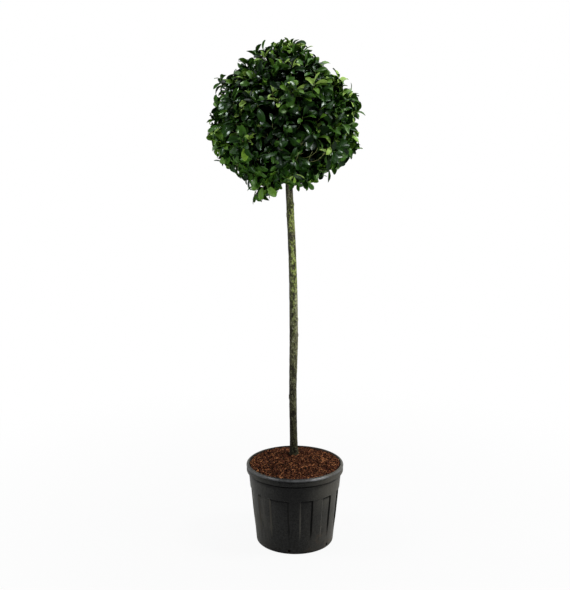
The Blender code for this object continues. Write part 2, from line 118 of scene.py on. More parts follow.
# Swelling of a bough where it leaves the stem: share of its radius, and its middle and spread along it
COLLAR = 0.45
COLLAR_MIDDLE = 0.12
COLLAR_SPREAD = 0.13
# (name, count, first azimuth, elevation, its stagger, start heights, base radius, tip radius)
RINGS = (
    ("lower", 6, -80.0, -13.0, 9.0, (1.392, 1.42), 0.006, 0.0042),
    ("upper", 5, -104.0, 34.0, 9.0, (1.462, 1.486), 0.0052, 0.0038),
)
TOP_STEM_RADIUS = 0.0036
# Masses: how far out their sites lie, the gap between them, and the stem each one enters by
SITE_SHARE = 0.66
CELL_GAP = 0.004
MASS_STEM_LENGTH = 0.03
# Twigs: each forks a share of the way to the shoots it serves, and thins out
FORK_SHARE = 0.42
FORK_THINNING = 0.86
FORK_BEND = (0.45, 0.1)
TWIG_RADIUS = 0.003
TWIG_TIP_RADIUS = 0.0013
SHOOT_TIP_RADIUS = 0.0008
TWIG_SIDES = 7
SHOOT_SIDES = 6
# Shoots: how far their ends turn outwards and stray, and over which share of their length
SHOOT_OUTWARD = 0.36
SHOOT_STRAY = (0.22, 0.22, 0.16)
SHOOT_TURN = 0.42
# Shoots that point further down than this climb less
LEAST_CLIMBING = -0.15

# Pot: its ribs lie in two like halves, turned on from the first rib by these angles
RIB_FIRST_ANGLE = -132.2
RIB_TURNS = (0.0, 41.0, 72.2, 101.7, 126.2, 159.2)
RIB_HALF_WIDTH = 7.2
PANEL_CORNER = 0.006
NOTCH_ANGLES = (-98.6, -35.7, 31.8, 112.05, 178.55)
NOTCH_HEIGHT = 0.0138
NOTCH_RADIUS = 0.006
NOTCH_DEPTH = 0.012
# Roll of the lip: (outwards from its inner face, below its top)
LIP_ROLL = (
    (0.0, 0.0055), (0.0002, 0.0028), (0.0007, 0.0012), (0.0015, 0.0003), (0.0026, 0.0),
    (0.0037, 0.0004), (0.005, 0.0012), (0.0063, 0.0021), (0.0076, 0.0031), (0.0087, 0.0043),
    (0.0095, 0.0058), (0.01, 0.0076),
)
# Outer face of the lip with its groove: (inwards from its outer edge, below its top)
LIP_FACE = ((0.0, 0.0092), (0.0003, 0.0101), (0.0011, 0.0106), (0.0014, 0.0114), (0.001, 0.0124))

FOLIAGE_NODES = [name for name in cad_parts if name.startswith("foliage_")]
BOUGH_NODES = [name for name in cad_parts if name.startswith("bough_")]


# Settings


def size(name, description, default, least, most):
    return bpy.props.FloatProperty(
        name=name, description=description, default=default, min=least, max=most, unit="LENGTH", precision=4
    )


def share(name, description, default, least=0.0, most=1.0):
    return bpy.props.FloatProperty(
        name=name, description=description, default=default, min=least, max=most, subtype="FACTOR"
    )


def angle(name, description, degrees):
    return bpy.props.FloatProperty(
        name=name, description=description, default=math.radians(degrees), subtype="ANGLE"
    )


def amount(name, description, default, least, most):
    return bpy.props.IntProperty(name=name, description=description, default=default, min=least, max=most)


def power(name, description, default):
    return bpy.props.FloatProperty(name=name, description=description, default=default, unit="POWER")


def tint(name, description, default):
    return bpy.props.FloatVectorProperty(
        name=name, description=description, default=default, size=3, min=0.0, max=1.0, subtype="COLOR"
    )


class LaurelWood(bpy.types.PropertyGroup):
    """Stem, boughs and twigs."""

    ring_step: size("Ring step", "Distance between the rings of the stem's mesh", 0.0024, 0.001, 0.02)
    lump_height: size("Lump height", "How far the stem's swellings stand out", 0.0014, 0.0, 0.004)
    scar_height: size("Scar height", "How far old pruning scars stand out", 0.0016, 0.0, 0.004)
    fissure_depth: size("Fissure depth", "Depth of the fine cracks along the bark", 0.0005, 0.0, 0.002)
    bark: tint("Bark", "Dry bark", (0.15, 0.147, 0.08))
    # Also the colour of the painted shade on the stem's left side, low on it and into the crown
    bark_dark: tint("Dark bark", "Bark in cracks and in the crown", (0.012, 0.01, 0.007))
    # Also laid on the stem's right side as painted light
    lichen: tint("Lichen", "Pale flecks", (0.4, 0.4, 0.275))
    algae: tint("Algae", "Green film on the lit side of the stem", (0.225, 0.285, 0.062))
    algae_dark: tint("Dark algae", "Thin film between its patches", (0.06, 0.07, 0.022))
    twig: tint("Twig", "Woody twigs", (0.11, 0.08, 0.036))
    shoot: tint("Shoot", "Green young shoots", (0.13, 0.15, 0.036))


class LaurelLeaves(bpy.types.PropertyGroup):
    """Shoots and leaves of the crown."""

    outer_shoots: amount("Outer shoots", "Shoots that reach the crown's outline", 400, 20, 2000)
    inner_shoots: amount("Inner shoots", "Shaded shoots behind them", 260, 0, 2000)
    leaves_per_shoot: amount("Leaves per shoot", "Leaves along one shoot's end", 11, 3, 16)
    leaf_length: size("Leaf length", "Grown leaf with its stalk", 0.06, 0.02, 0.12)
    leaf_width: size("Leaf width", "Grown leaf at its widest", 0.0244, 0.01, 0.06)
    outer_depth: size("Outer depth", "How far inside the outline outer shoots end", 0.031, 0.0, 0.1)
    inner_depth: size("Inner depth", "How far inside the outline inner shoots end", 0.088, 0.0, 0.2)
    seed: amount("Seed", "Chance that deals out shoots, leaves and tints", 11, 0, 9999)
    # Tints of leaf age, which also serve as painted light and shade: leaves are dealt lighter tints where
    # lit and darker ones deeper in the crown and inside it
    young: tint("Young", "Newest leaves", (0.2, 0.31, 0.062))
    fresh: tint("Fresh", "This year's leaves", (0.12, 0.22, 0.022))
    bright: tint("Bright", "Lit grown leaves", (0.066, 0.145, 0.013))
    grown: tint("Grown", "Grown leaves", (0.028, 0.078, 0.008))
    deep: tint("Deep", "Deep green leaves", (0.011, 0.037, 0.004))
    old: tint("Old", "Last year's leaves", (0.0035, 0.0125, 0.0018))
    shade: tint("Shade", "Leaves inside the crown", (0.001, 0.0026, 0.0006))


class LaurelPot(bpy.types.PropertyGroup):
    """Container and compost."""

    height: size("Height", "Height of the container", 0.301, 0.1, 1.0)
    rim_radius: size("Rim radius", "Outer radius of the lip", 0.18, 0.05, 1.0)
    rim_inner: size("Inner rim radius", "Inner radius of the lip", 0.17, 0.05, 1.0)
    rim_depth: size("Lip depth", "Height of the lip's outer face", 0.029, 0.005, 0.2)
    foot_radius: size("Foot radius", "Outer radius at the foot", 0.1428, 0.05, 1.0)
    slope: share("Slope", "How much the wall's radius grows with height", 0.0926)
    wall: size("Wall", "Thickness of the wall", 0.0028, 0.001, 0.02)
    band_bottom: size("Band bottom", "Lower edge of the smooth band", 0.2125, 0.0, 1.0)
    band_raise: size("Band raise", "How far the smooth band stands out", 0.0037, 0.0, 0.01)
    rib_raise: size("Rib raise", "How far the ribs stand out", 0.0018, 0.0, 0.01)
    panel_depth: size("Panel depth", "How far the panels between the ribs are sunk", 0.0021, 0.0, 0.0025)
    columns: amount("Columns", "Columns of faces round the container", 720, 72, 720)
    plastic: tint("Plastic", "Moulded plastic", (0.0152, 0.0155, 0.015))
    # Dust colour, which is also laid on as painted light on the pot's lit sides and rib flanks
    dust: tint("Dust", "Dried dust and limescale", (0.105, 0.098, 0.08))
    dirt: tint("Dirt", "Brown soil marks low on the wall", (0.1, 0.058, 0.03))
    # Colour of the lip's wear, and also of its painted highlight and glint
    worn: tint("Worn", "Chafed crest of the lip", (0.14, 0.143, 0.15))
    compost_edge: size("Compost edge", "Height of the compost at the wall", 0.294, 0.0, 1.0)
    compost_crown: size("Compost crown", "Height of the compost round the stem", 0.311, 0.0, 1.0)
    plateau: size("Plateau", "Radius of the level part round the stem", 0.034, 0.0, 0.2)
    chips: amount("Chips", "Bark chips on the compost", 8400, 100, 20000)
    peat: tint("Peat", "Fine compost between the chips", (0.012, 0.005, 0.002))
    chip_dark: tint("Dark chip", "Moist dark chips", (0.0075, 0.003, 0.0018))
    chip_red: tint("Red chip", "Red-brown chips", (0.056, 0.0155, 0.007))
    chip_brown: tint("Brown chip", "Mid-brown chips", (0.094, 0.032, 0.013))
    chip_pale: tint("Pale chip", "Dry orange-brown chips and fibres", (0.31, 0.125, 0.05))


class LaurelStage(bpy.types.PropertyGroup):
    """Floor, lights and camera."""

    floor: tint("Floor", "Plain pale floor", (0.42, 0.42, 0.42))
    sky: share("Surround", "Light of the pale surround behind and beside the plant", 0.46, 0.0, 3.0)
    dusk: share("Front surround", "Light of the surround on the camera's side", 0.015, 0.0, 3.0)
    key: power("Key light", "Soft light high on the right", 93.0)
    fill: power("Fill light", "Soft light high on the left", 55.0)
    top: power("Top light", "Soft light overhead", 34.0)
    lift: power("Lift light", "Weak light thrown up under the crown", 1.9)
    lens: bpy.props.FloatProperty(name="Lens", description="Focal length", default=54.915, unit="CAMERA")
    tilt: angle("Tilt", "How far the camera looks down", 10.4)


class LaurelSettings(bpy.types.PropertyGroup):
    """All settings of the plant."""

    wood: bpy.props.PointerProperty(type=LaurelWood)
    leaves: bpy.props.PointerProperty(type=LaurelLeaves)
    pot: bpy.props.PointerProperty(type=LaurelPot)
    stage: bpy.props.PointerProperty(type=LaurelStage)


def settings():
    return bpy.context.scene.laurel


# Node trees


def arithmetic(operation, turned=False):
    """A method that adds the node for a value and a number or another value."""

    def work_out(value, other):
        pair = (other, value) if turned else (value, other)
        return value.wiring.math(operation, *pair)

    return work_out


class Value:
    """What a node gives. Plain arithmetic on it adds the nodes that work it out."""

    def __init__(self, wiring, socket):
        self.wiring = wiring
        self.socket = socket

    __add__ = arithmetic("ADD")
    __mul__ = arithmetic("MULTIPLY")
    __sub__ = arithmetic("SUBTRACT")
    __rsub__ = arithmetic("SUBTRACT", turned=True)
    __truediv__ = arithmetic("DIVIDE")
    __rtruediv__ = arithmetic("DIVIDE", turned=True)
    __pow__ = arithmetic("POWER")

    def __abs__(self):
        return self.wiring.math("ABSOLUTE", self)


class Wiring:
    """Adds nodes to a tree and joins them up."""

    def __init__(self, tree):
        self.tree = tree

    def feed(self, socket, value):
        if isinstance(value, Value):
            self.tree.links.new(value.socket, socket)
        elif socket.type == "RGBA" and len(value) == 3:
            socket.default_value = (*value, 1.0)
        else:
            socket.default_value = value

    def add(self, kind, inputs=None, **options):
        node = self.tree.nodes.new(kind)
        for name, value in options.items():
            setattr(node, name, value)
        for key, value in (inputs or {}).items():
            self.feed(node.inputs[key], value)
        return node

    def get(self, kind, inputs=None, out=0, **options):
        """Add a node and give one of its outputs."""
        return Value(self, self.add(kind, inputs, **options).outputs[out])

    def get_all(self, kind, inputs=None, **options):
        return [Value(self, socket) for socket in self.add(kind, inputs, **options).outputs]

    def math(self, operation, *values, clamp=False):
        return self.get("ShaderNodeMath", dict(enumerate(values)), operation=operation, use_clamp=clamp)

    def vector(self, operation, *values, out=0):
        return self.get("ShaderNodeVectorMath", dict(enumerate(values)), out, operation=operation)

    def ramp(self, value, low, high, to_low=0.0, to_high=1.0):
        """A smooth step of a value from low to high."""
        numbers = dict(enumerate((value, low, high, to_low, to_high)))
        return self.get("ShaderNodeMapRange", numbers, interpolation_type="SMOOTHSTEP")

    def noise(self, place, scale, detail=3.0, roughness=0.55):
        inputs = {"Vector": place, "Scale": scale, "Detail": detail, "Roughness": roughness}
        return self.get("ShaderNodeTexNoise", inputs)

    def coat(self, colour, *coats):
        """Lay coats over a colour, each a mask and its own colour."""
        for mask, over in coats:
            colour = self.get("ShaderNodeMix", {0: mask, 6: colour, 7: over}, 2, data_type="RGBA")
        return colour

    def split(self, vector):
        return self.get_all("ShaderNodeSeparateXYZ", {"Vector": vector})

    def join(self, x, y, z):
        return self.get("ShaderNodeCombineXYZ", {0: x, 1: y, 2: z})

    def stretch(self, place, rise):
        """A place with its height scaled, so that a pattern runs longer or shorter upwards."""
        return self.vector("MULTIPLY", place, (1.0, 1.0, rise))

    def group(self, name, build, inputs):
        """What a node group gives that materials share."""
        made = bpy.data.node_groups.get(name) or build(name)
        return self.get_all("ShaderNodeGroup", inputs, node_tree=made)


class Look(Wiring):
    """A material, with constant numbers set on the shader's own sockets."""

    def __init__(self, name, roughness, **values):
        self.material = bpy.data.materials.new(name)
        self.material.use_nodes = True
        self.material.diffuse_color = (0.2, 0.2, 0.2, 1.0)
        super().__init__(self.material.node_tree)
        self.shader = self.tree.nodes["Principled BSDF"]
        self.set(Roughness=roughness, **values)

    def set(self, **values):
        for key, value in values.items():
            self.feed(self.shader.inputs[key.replace("_", " ")], value)

    def place(self):
        return self.get("ShaderNodeTexCoord", out="Object")

    def facing(self):
        return self.get("ShaderNodeNewGeometry", out="Normal")

    def film(self, place, patch, speck, cover):
        inputs = {"Place": place, "Patch size": patch, "Speck size": speck, "Cover": cover}
        return self.group("weathering", build_weathering, inputs)

    def grain(self, place, coarse, fine, fine_share=0.4):
        inputs = {"Place": place, "Coarse size": coarse, "Fine size": fine, "Fine share": fine_share}
        return self.group("grain", build_grain, inputs)[0]

    def relief(self, height, strength, distance):
        inputs = {"Height": height, "Strength": strength, "Distance": distance}
        self.set(Normal=self.get("ShaderNodeBump", inputs))


def new_group(name, given, results):
    """A node group with its defaults: (wiring, what it is given, sockets of its results)."""
    tree = bpy.data.node_groups.new(name, "ShaderNodeTree")
    for label, default in given.items():
        kind = "NodeSocketVector" if default is None else "NodeSocketFloat"
        socket = tree.interface.new_socket(label, in_out="INPUT", socket_type=kind)
        if default is not None:
            socket.default_value = default
    for label in results:
        tree.interface.new_socket(label, in_out="OUTPUT", socket_type="NodeSocketFloat")
    w = Wiring(tree)
    return w, w.get_all("NodeGroupInput")[:len(given)], w.add("NodeGroupOutput").inputs


def build_weathering(name):
    """Patchy film: masks of its broad patches and of its fine specks."""
    defaults = {"Place": None, "Patch size": 0.05, "Speck size": 0.004, "Cover": 0.5}
    w, (place, patch, speck, cover), out = new_group(name, defaults, ("Patches", "Specks"))
    edge = 0.85 - cover * 0.7
    w.feed(out[0], w.ramp(w.noise(place, 1.0 / patch, 4.0, 0.6), edge - 0.12, edge + 0.12))
    w.feed(out[1], w.ramp(w.noise(place, 1.0 / speck, 2.0, 0.5), 0.6, 0.72))
    return w.tree


def build_grain(name):
    """Fine relief of a surface: a height from two noises."""
    defaults = {"Place": None, "Coarse size": 0.004, "Fine size": 0.0009, "Fine share": 0.4}
    w, (place, coarse, fine, share_of_fine), out = new_group(name, defaults, ("Height",))
    coarse = w.noise(place, 1.0 / coarse, 3.0, 0.6)
    w.feed(out[0], coarse + w.noise(place, 1.0 / fine, 2.0, 0.6) * share_of_fine)
    return w.tree


def build_veins(name):
    """Relief of a leaf's blade from its own map: side veins that slant off the midrib."""
    w, (veins, slant), out = new_group(name, {"Side veins": 9.0, "Slant": 1.5}, ("Height",))
    along, across, _ = w.split(w.get("ShaderNodeUVMap", uv_map="blade"))
    off_rib = abs(across - 0.5)
    wave = w.math("SINE", (along * veins - off_rib * slant) * (2.0 * math.pi))
    w.feed(out[0], abs(wave) ** 0.5 * w.ramp(off_rib, 0.0, 0.06))
    return w.tree


# Materials

# Heights on the stem between which the algae set in and stop, and where they leave it bare
ALGAE_SET_IN = (0.66, 1.12)
ALGAE_STOP = (1.235, 1.29)
BARE_HEIGHT = 1.144
# Heights between which the stem darkens towards the compost and into the crown
FOOT_SHADE = (0.36, 0.66)
CROWN_SHADE = (1.275, 1.33)
# Tints of the leaves' shine: greenish on lit leaves, and cool on dark ones
WARM_SHEEN = (0.74, 1.0, 0.56, 1.0)
COOL_SHEEN = (0.88, 1.0, 0.96, 1.0)
TWIG_FLECK = (0.16, 0.14, 0.09)
# Near-black of the painted shade on the pot, and the dark plastic of its painted shade at the front and
# under the lip
PAINTED_SHADE_COLOUR = (0.0008, 0.0008, 0.0008)
SHADED_PLASTIC = (0.003, 0.0031, 0.0034)


def scaled(colour, factor):
    return tuple(min(1.0, factor * value) for value in colour)


def leaf_material(name, colour, roughness, shine, sheen=WARM_SHEEN):
    """One plain tint of leaf, with its veins in relief."""
    w = Look(name, roughness, Specular_IOR_Level=shine, Specular_Tint=sheen, Base_Color=colour)
    w.material.diffuse_color = (*colour, 1.0)
    veins = w.group("leaf veins", build_veins, {"Side veins": 9.0, "Slant": 1.5})
    w.relief(veins[0], 0.09, 0.0005)
    return w.material


def bark_material(wood):
    """Grey-brown bark, mottled and cracked, with green algae high on its lit side."""
    w = Look("bark", 0.85, Specular_IOR_Level=0.12)
    place = w.place()
    height = w.split(place)[2]
    right, back, _ = w.split(w.facing())
    fissures = w.noise(w.stretch(place, 0.22), 330.0, 4.0, 0.65)
    mottle = w.noise(w.stretch(place, 0.7), 175.0, 3.0, 0.6)
    flecks = w.noise(w.vector("MULTIPLY", place, (0.7, 0.7, 1.0)), 290.0, 2.0, 0.55)
    blotch = w.noise(w.stretch(place, 0.75), 78.0, 3.0, 0.55)
    dry = w.coat(
        wood.bark_dark,
        (w.ramp(fissures, 0.38, 0.6), wood.bark),
        (w.ramp(flecks, 0.58, 0.7) * 0.55, wood.lichen),
    )
    lit_side = w.ramp(right * 0.6 - back * 0.25, -0.5, 0.35, 0.15, 1.0)
    wet = w.ramp(height, *ALGAE_SET_IN, 0.14, 1.0) * w.ramp(height, *ALGAE_STOP, 1.0, 0.0)
    wet = wet * (lit_side * w.ramp(abs(height - BARE_HEIGHT), 0.007, 0.017))
    patches, specks = w.film(w.stretch(place, 0.5), 0.019, 0.0036, 0.8)
    thick = wet * (patches * 0.75 + 0.3)
    green = w.coat(
        wood.algae_dark,
        (w.ramp(mottle, 0.4, 0.62), wood.algae),
        (specks * 0.55, scaled(wood.algae, 1.3)),
    )
    weathered = w.ramp(height, 0.98, 0.9) * w.ramp(height, 0.66, 0.9, 0.2, 1.0)
    weathered = weathered * w.ramp(mottle, 0.42, 0.56, 0.1, 0.42)
    dusk = w.ramp(height, *CROWN_SHADE) * 0.65
    shade = w.math("MAXIMUM", dusk, w.ramp(height, *FOOT_SHADE, 0.58, 0.0))
    colour = w.coat(
        dry,
        (w.math("MINIMUM", thick, 1.0), green),
        (w.ramp(flecks, 0.56, 0.64) * 0.55, wood.lichen),
        (w.ramp(mottle, 0.5, 0.38) * 0.72, wood.bark_dark),
        (w.ramp(blotch, 0.5, 0.41) * 0.8, wood.bark_dark),
        # Pale weathering on the side facing the key lamp: partly lichen, partly painted light
        (w.ramp(right, 0.15, 0.6) * weathered, wood.lichen),
        # Painted shade: the stem's left side, away from the key lamp, is darkened
        (w.ramp(back * 0.25 - right, -0.1, 0.6) * 0.56, wood.bark_dark),
        (shade, wood.bark_dark),
    )
    w.set(Base_Color=colour)
    w.relief(w.grain(w.stretch(place, 0.3), 0.003, 0.0008, 0.5) + fissures, 0.65, 0.0014)
    return w.material


def twig_material(name, colour, dark_share, roughness):
    w = Look(name, roughness, Specular_IOR_Level=0.35)
    place = w.place()
    patches, specks = w.film(place, 0.012, 0.0016, 0.5)
    w.set(Base_Color=w.coat(scaled(colour, dark_share), (patches, colour), (specks * 0.4, TWIG_FLECK)))
    w.relief(w.grain(place, 0.002, 0.0006), 0.4, 0.0004)
    return w.material


def plastic_material(pot):
    """Black moulded plastic, worn pale by dust, splashes and a little soil, with painted light on its lit
    sides, rib flanks and lip, and painted shade in its hollows and at its front.
    """
    w = Look("moulded_plastic", 0.4, Specular_IOR_Level=0.17, Sheen_Weight=0.11, Sheen_Roughness=0.45)
    w.set(Sheen_Tint=(1.0, 0.95, 0.84))
    top = pot.height
    lip_foot = top - pot.rim_depth
    band = pot.band_bottom
    place = w.place()
    x, y, z = w.split(place)
    radius = w.vector("LENGTH", w.stretch(place, 0.0), out=1)
    off_wall = radius - z * pot.slope - pot.foot_radius
    # Dust in patches, runs and specks, laid thickest on the left and right, where it is partly real dust and
    # partly painted light on the lit sides
    patches, specks = w.film(w.stretch(place, 0.55), 0.05, 0.004, 0.5)
    runs = w.noise(w.stretch(place, 0.07), 110.0, 3.0, 0.6)
    side = w.math("MAXIMUM", w.ramp(x, -0.056, -0.15, 0.03, 1.0), w.ramp(x, 0.01, 0.12, 0.03, 0.54))
    side_dust_and_light = (patches * 0.6 + 0.4) * w.ramp(z, 0.24, 0.04, 0.6, 1.0) * (side * 0.66)
    streaks = w.ramp(runs, 0.5, 0.72) * (side * 0.2 + 0.04)
    splashes = specks * w.ramp(z, 0.19, 0.26, 0.08, 0.16)
    # Painted light high on the right of the wall, where the key lamp falls
    painted_key_light = w.ramp(x, 0.02, 0.155, 0.0, 0.42) * w.ramp(z, 0.13, 0.23)
    dust_and_painted_light = w.math("ADD", side_dust_and_light + streaks + splashes, painted_key_light, clamp=True)
    # One flank of each rib is lightened as painted light, and the other flank and the panels' tops under the
    # band are darkened as painted shade
    along_wall = w.vector("NORMALIZE", w.vector("CROSS_PRODUCT", (0.0, 0.0, 1.0), place))
    lean = w.vector("DOT_PRODUCT", w.facing(), along_wall, out=1)
    on_ribs = w.ramp(z, 0.035, 0.1) * w.ramp(z, band, band - 0.003)
    painted_flank_light = w.ramp(lean, 0.1, 0.36) * on_ribs * w.ramp(x, -0.05, -0.09, 0.38, 0.85)
    shade_under_band = w.ramp(z, band - 0.011, band - 0.004) * w.ramp(off_wall, 0.001, -0.0006)
    shade_under_band = shade_under_band * w.ramp(z, band + 0.0022, band + 0.0008)
    painted_shade = w.math("MAXIMUM", w.ramp(lean, -0.02, -0.12) * on_ribs, shade_under_band) * 0.96
    # Painted shade: the middle of the front is darkened, and a soft painted shadow lies under the lip
    front_painted_shade = w.ramp(abs(x + 0.008), 0.085, 0.03) * w.ramp(z, 0.12, 0.22, 0.0, 0.5)
    # Painted shadow under the lip, on its left and middle
    soft = w.ramp(z, lip_foot - 0.022, lip_foot - 0.004) * w.ramp(x, 0.07, 0.02, 0.0, 0.55)
    below_lip = w.ramp(z, lip_foot + 0.0012, lip_foot - 0.0004)
    front_painted_shade = w.math("MAXIMUM", front_painted_shade, soft) * (below_lip * 0.75 + 0.25)
    # Soil low on the right and along the ground
    smudge = w.noise(place, 36.0, 4.0, 0.65)
    soil = w.ramp(x, 0.03, 0.12) * w.ramp(z, 0.12, 0.02) * w.ramp(smudge, 0.5, 0.66)
    ground = w.ramp(z, 0.034, 0.004) * w.ramp(smudge, 0.45, 0.68)
    marks = w.math("ADD", soil * 0.5, ground * 0.22, clamp=True)
    # The crest of the lip is pale, partly from wear and partly as a painted highlight, most of all at the
    # front right, where a painted glint lies
    crest = w.ramp(z, top - 0.0104, top - 0.0078) * w.ramp(z, top - 0.0014, top - 0.0046)
    crest = crest * w.ramp(w.noise(place, 45.0, 3.0, 0.6), 0.3, 0.62, 0.25, 0.95)
    crest = crest * w.ramp(radius, pot.rim_inner + 0.0012, pot.rim_inner + 0.004)
    crest = crest * w.ramp(abs(x - 0.082), 0.06, 0.02, 0.72, 1.0)
    painted_glint = crest * w.ramp(y, -0.02, -0.08) * w.ramp(abs(x - 0.08), 0.034, 0.008, 0.0, 0.55)
    mottle = w.ramp(w.noise(place, 170.0, 4.0, 0.75), 0.38, 0.62)
    # Coats: mottle, dust with painted light, painted light on rib flanks, painted shade on the other flanks
    # and under the band, painted shade at the front and under the lip, soil, the lip's wear with its painted
    # highlight, and a painted glint
    colour = w.coat(
        scaled(pot.plastic, 0.45),
        (mottle, scaled(pot.plastic, 1.75)),
        (dust_and_painted_light, pot.dust),
        (painted_flank_light, pot.dust),
        (painted_shade, PAINTED_SHADE_COLOUR),
        (front_painted_shade, SHADED_PLASTIC),
        (marks, pot.dirt),
        (crest, pot.worn),
        (painted_glint, scaled(pot.worn, 2.6)),
    )
    polish = w.ramp(z, top - 0.014, top - 0.009, 0.36, 0.24)
    w.set(Base_Color=colour, Roughness=polish + (dust_and_painted_light * 0.25 + painted_shade * 0.45))
    w.relief(w.grain(place, 0.006, 0.0012, 0.6), 0.2, 0.0006)
    return w.material


def compost_material(name, colour, dark_share, patch):
    w = Look(name, 0.9, Specular_IOR_Level=0.1)
    place = w.place()
    patches, specks = w.film(place, patch, 0.0018, 0.55)
    pale = (specks * 0.5, scaled(colour, 1.9))
    w.set(Base_Color=w.coat(scaled(colour, dark_share), (patches, colour), pale))
    w.relief(w.grain(place, 0.0022, 0.0007), 0.7, 0.001)
    return w.material


# Hand modelling


def deselect():
    if bpy.context.object and bpy.context.object.mode != "OBJECT":
        bpy.ops.object.mode_set(mode="OBJECT")
    bpy.ops.object.select_all(action="DESELECT")


def activate(made):
    deselect()
    made.select_set(True)
    bpy.context.view_layer.objects.active = made


def apply_modifiers(made):
    activate(made)
    for modifier in list(made.modifiers):
        bpy.ops.object.modifier_apply(modifier=modifier.name)


def settle(made):
    """Put an object's place into its mesh."""
    activate(made)
    bpy.ops.object.transform_apply(location=True, rotation=True, scale=True)


def dress(made, slot, *materials):
    made.data.materials.clear()
    for material in materials:
        made.data.materials.append(material)
    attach(made, "root")


def close_mesh():
    """Join a mesh's doubled points, turn its faces outwards and leave edit mode."""
    bpy.ops.mesh.select_all(action="SELECT")
    bpy.ops.mesh.remove_doubles(threshold=1e-6)
    bpy.ops.mesh.normals_make_consistent(inside=False)
    bpy.ops.object.mode_set(mode="OBJECT")


def turned_body(name, profile, columns):
    """A body turned from a profile of (radius, height), drawn point by point and spun about the axis."""
    deselect()
    radius, height = profile[0]
    bpy.ops.mesh.primitive_plane_add(size=0.001, location=(0.0, 0.0, 0.0))
    made = bpy.context.object
    made.name = name
    bpy.ops.object.mode_set(mode="EDIT")
    bpy.ops.mesh.select_all(action="SELECT")
    bpy.ops.mesh.merge(type="CENTER")
    bpy.ops.transform.translate(value=(radius, 0.0, height))
    for (radius, height), (next_radius, next_height) in zip(profile, profile[1:]):
        step = (next_radius - radius, 0.0, next_height - height)
        bpy.ops.mesh.extrude_region_move(TRANSFORM_OT_translate={"value": step})
    bpy.ops.mesh.select_all(action="SELECT")
    bpy.ops.mesh.spin(
        steps=columns, angle=2.0 * math.pi, use_auto_merge=True, center=(0.0, 0.0, 0.0), axis=(0.0, 0.0, 1.0)
    )
    close_mesh()
    return made


def shape_by_nodes(made, name, build):
    """Shape a mesh by a geometry node tree, and apply it."""
    tree = bpy.data.node_groups.new(name, "GeometryNodeTree")
    for in_out in ("INPUT", "OUTPUT"):
        tree.interface.new_socket("Geometry", in_out=in_out, socket_type="NodeSocketGeometry")
    w = Wiring(tree)
    source = w.get("NodeGroupInput")
    offset = build(w, w.get("GeometryNodeInputPosition"))
    w.add("NodeGroupOutput", {0: w.get("GeometryNodeSetPosition", {"Geometry": source, "Offset": offset})})
    made.modifiers.new(name, "NODES").node_group = tree
    apply_modifiers(made)


def round_path(name, courses, sides):
    """Round limbs drawn as paths of (point, radius) with a bevel, made a mesh."""
    deselect()
    bpy.ops.curve.primitive_nurbs_path_add(location=(0.0, 0.0, 0.0))
    made = bpy.context.object
    made.name = name
    curve = made.data
    curve.splines.clear()
    for course in courses:
        spline = curve.splines.new("POLY")
        spline.points.add(len(course) - 1)
        for knot, (point, radius) in zip(spline.points, course):
            knot.co = (*point, 1.0)
            knot.radius = radius
    curve.bevel_depth = 1.0
    curve.bevel_resolution = (sides - 4) // 2
    curve.use_fill_caps = True
    bpy.ops.object.convert(target="MESH")
    bpy.ops.object.mode_set(mode="EDIT")
    close_mesh()
    bpy.ops.object.shade_smooth_by_angle(angle=math.radians(50.0))
    return bpy.context.object


# Stem and boughs


def unit(azimuth, elevation):
    """Direction from an azimuth (0 is +X) and an elevation, both in degrees."""
    turn = math.radians(azimuth)
    rise = math.radians(elevation)
    return Vector((math.cos(turn) * math.cos(rise), math.sin(turn) * math.cos(rise), math.sin(rise)))


def arch(start, bend, end, count):
    """Points of a limb that leaves its start towards a bend, and comes to its end from there."""
    points = []
    for k in range(count):
        t = k / (count - 1)
        points.append(start * (1.0 - t) ** 2 + bend * 2.0 * t * (1.0 - t) + end * t ** 2)
    return points


def stem_at(z):
    """Middle of the stem and its radius at a world height, read smoothly from its course."""
    course = STEM_COURSE
    height = min(course[-1][0], max(course[0][0], z - STEM_FOOT_Z))
    k = max(i for i in range(len(course) - 1) if course[i][0] <= height)
    before, start = course[max(k - 1, 0)], course[k]
    end, beyond = course[k + 1], course[min(k + 2, len(course) - 1)]
    step = end[0] - start[0]
    t = (height - start[0]) / step
    values = []
    for axis in (1, 2, 3):
        slope_in = (end[axis] - before[axis]) / (end[0] - before[0]) * step
        slope_out = (beyond[axis] - start[axis]) / (beyond[0] - start[0]) * step
        a = 2.0 * start[axis] - 2.0 * end[axis] + slope_in + slope_out
        b = -3.0 * start[axis] + 3.0 * end[axis] - 2.0 * slope_in - slope_out
        values.append(((a * t + b) * t + slope_in) * t + start[axis])
    return Vector((values[0], values[1], z)), values[2]


def stem_tip_z():
    return STEM_FOOT_Z + STEM_COURSE[-1][0]


def heart():
    return stem_at(HEART_HEIGHT)[0]


def limb_course(azimuth, elevation, start_height):
    """A bough's middle line, from inside the stem up and out to where its mass begins."""
    start = stem_at(start_height)[0]
    end = heart() + unit(azimuth, elevation) * LIMB_ZONE
    return arch(start, start.lerp(end, 0.5) + (unit(azimuth, 0.0) - UP) * LIMB_SAG, end, LIMB_RINGS)


def ring_members():
    """Every bough with its mass: (name, azimuth, elevation, start height, base and tip radius)."""
    members = []
    for name, count, first, elevation, stagger, (low, high), base, tip in RINGS:
        for k in range(count):
            start = low + (high - low) * ((k * 2) % count) / (count - 1)
            rise = elevation + stagger * math.cos(math.pi * k)
            members.append((f"{name}_{k + 1}", first + 360.0 * k / count, rise, start, base, tip))
    return members


